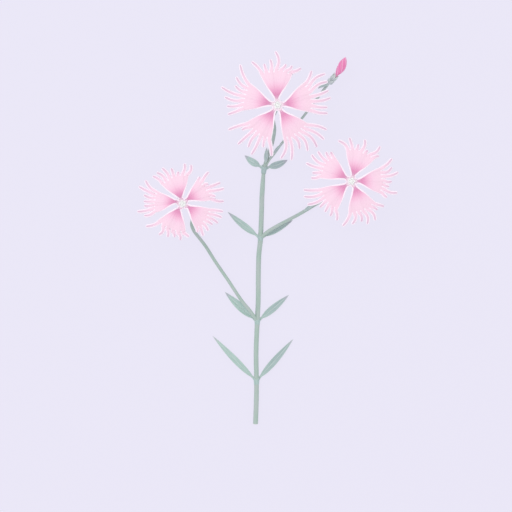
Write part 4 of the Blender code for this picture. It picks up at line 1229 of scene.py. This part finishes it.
# %% The bud's calyx and scales
BUD_TIP = Vector((38.65, 89.6, 9.6))
BUD_BEND = Vector((0.35, -0.35, 0.3))       # how far the furled petals bow off a straight line
BUD_CALYX_STEPS = 30
BUD_NOTCH = -1.4        # mm from the calyx's mouth to the cuts between its teeth
BUD_TOOTH = 0.2         # and to the tips of the teeth
# Painted light: BUD_GREEN is kept small, so that the pale colour of the mouth spreads part way down
# the bud's tube and lightens it against the shade of its ribs and scales.
BUD_GREEN = 6.0         # mm that the green part moves up, as a closed bud's calyx is greener
# Height over the calyx's foot and radius in mm
BUD_SCALES = ((0.1, 1.15), (0.7, 1.45), (1.4, 1.6), (2.0, 1.62), (2.8, 1.55))
BUD_SCALE_LAP = 0.08
bud_up = (BUD_MOUTH - BUD_FOOT).normalized()
bud_length = (BUD_MOUTH - BUD_FOOT).length
bud_seat = (Matrix.Translation(BUD_FOOT * MM)
            @ UP.rotation_difference(bud_up).to_matrix().to_4x4())
# The same for its tube, which widens fast at the foot and slowly up to the mouth
bud_profile = ((0.0, 0.75), (0.7, 1.15), (bud_length * 0.45, 1.35), (bud_length - 2.6, 1.5),
               (bud_length + BUD_TOOTH, 1.55))
grow_calyx("calyx_bud_tube", "calyx_bud", bud_seat, bud_profile, bud_length + BUD_NOTCH,
           bud_length + BUD_TOOTH, BUD_CALYX_STEPS, BUD_GREEN)
grow_scales("calyx_bud_scales", bud_seat, BUD_SCALES, BUD_SCALE_LAP)
print("The bud's calyx is", round(bud_length, 1), "mm long")

# %% Furl the bud's petals
BUD_PETALS = 5
BUD_WRAP = 78.0         # degrees that a petal wraps to each side
BUD_TWIST = 150.0       # degrees of twist from mouth to tip
BUD_LAP = 0.075         # one edge lies this share further out, the other as much further in
BUD_WALL = 0.2
BUD_STUB = 1.5          # mm from the calyx's foot to the petals' own feet
BUD_TUCK = 2.0          # mm that the furled part reaches down below the mouth
BUD_ALONG = 48
BUD_ACROSS = 24
# Share of the way from mouth to tip and radius in mm
BUD_SHAPE = ((0.0, 0.62), (0.1, 0.95), (0.2, 1.38), (0.34, 1.72), (0.5, 1.88), (0.64, 1.78),
             (0.78, 1.36), (0.9, 0.8), (1.0, 0.16))
stub = BUD_FOOT + bud_up * BUD_STUB
bud_frame, furled_length = follow(smooth_route(
    [stub, BUD_FOOT.lerp(BUD_MOUTH, 0.6), BUD_MOUTH, BUD_MOUTH.lerp(BUD_TIP, 0.5) + BUD_BEND,
     BUD_TIP]))
furl_start = (BUD_MOUTH - stub).length - BUD_TUCK


def furled(turn):
    """The place function of one furled petal that starts at a turn in degrees."""
    def place(along, across):
        across = 2 * across - 1
        station = furl_start + (furled_length - furl_start) * along
        past_mouth = station - furl_start - BUD_TUCK
        share = max(0.0, past_mouth / (furled_length - furl_start - BUD_TUCK))
        centre, side, other = bud_frame(station)
        angle = math.radians(turn + BUD_TWIST * share + BUD_WRAP * across)
        radius = through(BUD_SHAPE, share) * (1 + BUD_LAP * across)
        point = centre + (side * math.cos(angle) + other * math.sin(angle)) * radius
        half = math.radians(BUD_WRAP) * radius
        return point, (station, half * across, half * (1 - across))
    return place


bm = new_shape()
for k in range(BUD_PETALS):
    grow_sheet(bm, BUD_ALONG, BUD_ACROSS, furled(360 * k / BUD_PETALS))
bud = keep("bud_furled", bm, bud_tissue, "bud", wall=BUD_WALL)
print("Furled petals:", BUD_PETALS, "of", len(bud.data.polygons) // BUD_PETALS, "quads")

# %% [markdown]
# ## Floor, light and camera
# The plant lies on a plain lavender card. Light comes evenly from all round, with a large soft
# panel on one side that is just strong enough to model the petals. The camera hangs straight
# above and far off with a long lens, so that the blooms, which stand 30 mm over the floor, are
# hardly larger in the picture than they would be on it. The view transform is set to Standard,
# because the pastel colours are meant to come out as they are written.

# %% Lay the floor
FLOOR_HALF = 3.0        # metres
bm = bmesh.new()
bmesh.ops.create_grid(bm, x_segments=1, y_segments=1, size=FLOOR_HALF)
mesh = bpy.data.meshes.new("floor")
bm.to_mesh(mesh)
bm.free()
mesh.materials.append(floor_card)
floor = bpy.data.objects.new("floor", mesh)
bpy.context.scene.collection.objects.link(floor)
print("The floor is", 2 * FLOOR_HALF, "m wide")

# %% Light it
ROOM_LIGHT = 0.9        # strength of the even light from all round
PANEL_SIZE = 0.7        # metres
PANEL_POWER = 3.0       # watts
PANEL_PLACE = (-0.55, 0.45, 1.2)
world = bpy.data.worlds.new("soft_room")
bpy.context.scene.world = world
world.use_nodes = True
background = world.node_tree.nodes["Background"]
background.inputs["Color"].default_value = (1.0, 1.0, 1.0, 1.0)
background.inputs["Strength"].default_value = ROOM_LIGHT
panel = bpy.data.objects.new("panel", bpy.data.lights.new("panel", "AREA"))
bpy.context.scene.collection.objects.link(panel)
panel.data.shape = "SQUARE"
panel.data.size = PANEL_SIZE
panel.data.energy = PANEL_POWER
panel.location = PANEL_PLACE
panel.rotation_euler = (-panel.location).to_track_quat("-Z", "Y").to_euler()
bpy.context.scene.view_settings.view_transform = "Standard"
print("Panel", round(panel.location.length, 2), "m away at", PANEL_POWER, "W")

# %% Hang the camera
PICTURE = 512           # pixels along a side of the picture
PIXEL = 0.5             # mm on the floor for each of them
PICTURE_MIDDLE = (-5.75, -9.0)      # the place on the floor in the middle of the picture, in mm
CAMERA_HEIGHT = 1.28    # metres
camera = bpy.data.objects.new("camera", bpy.data.cameras.new("camera"))
bpy.context.scene.collection.objects.link(camera)
camera.data.sensor_width = 36.0
camera.data.lens = camera.data.sensor_width * CAMERA_HEIGHT / (PICTURE * PIXEL * MM)
camera.data.clip_end = 10.0
camera.location = (PICTURE_MIDDLE[0] * MM, PICTURE_MIDDLE[1] * MM, CAMERA_HEIGHT)
bpy.context.scene.camera = camera
print("Lens of", round(camera.data.lens, 1), "mm, looking straight down")
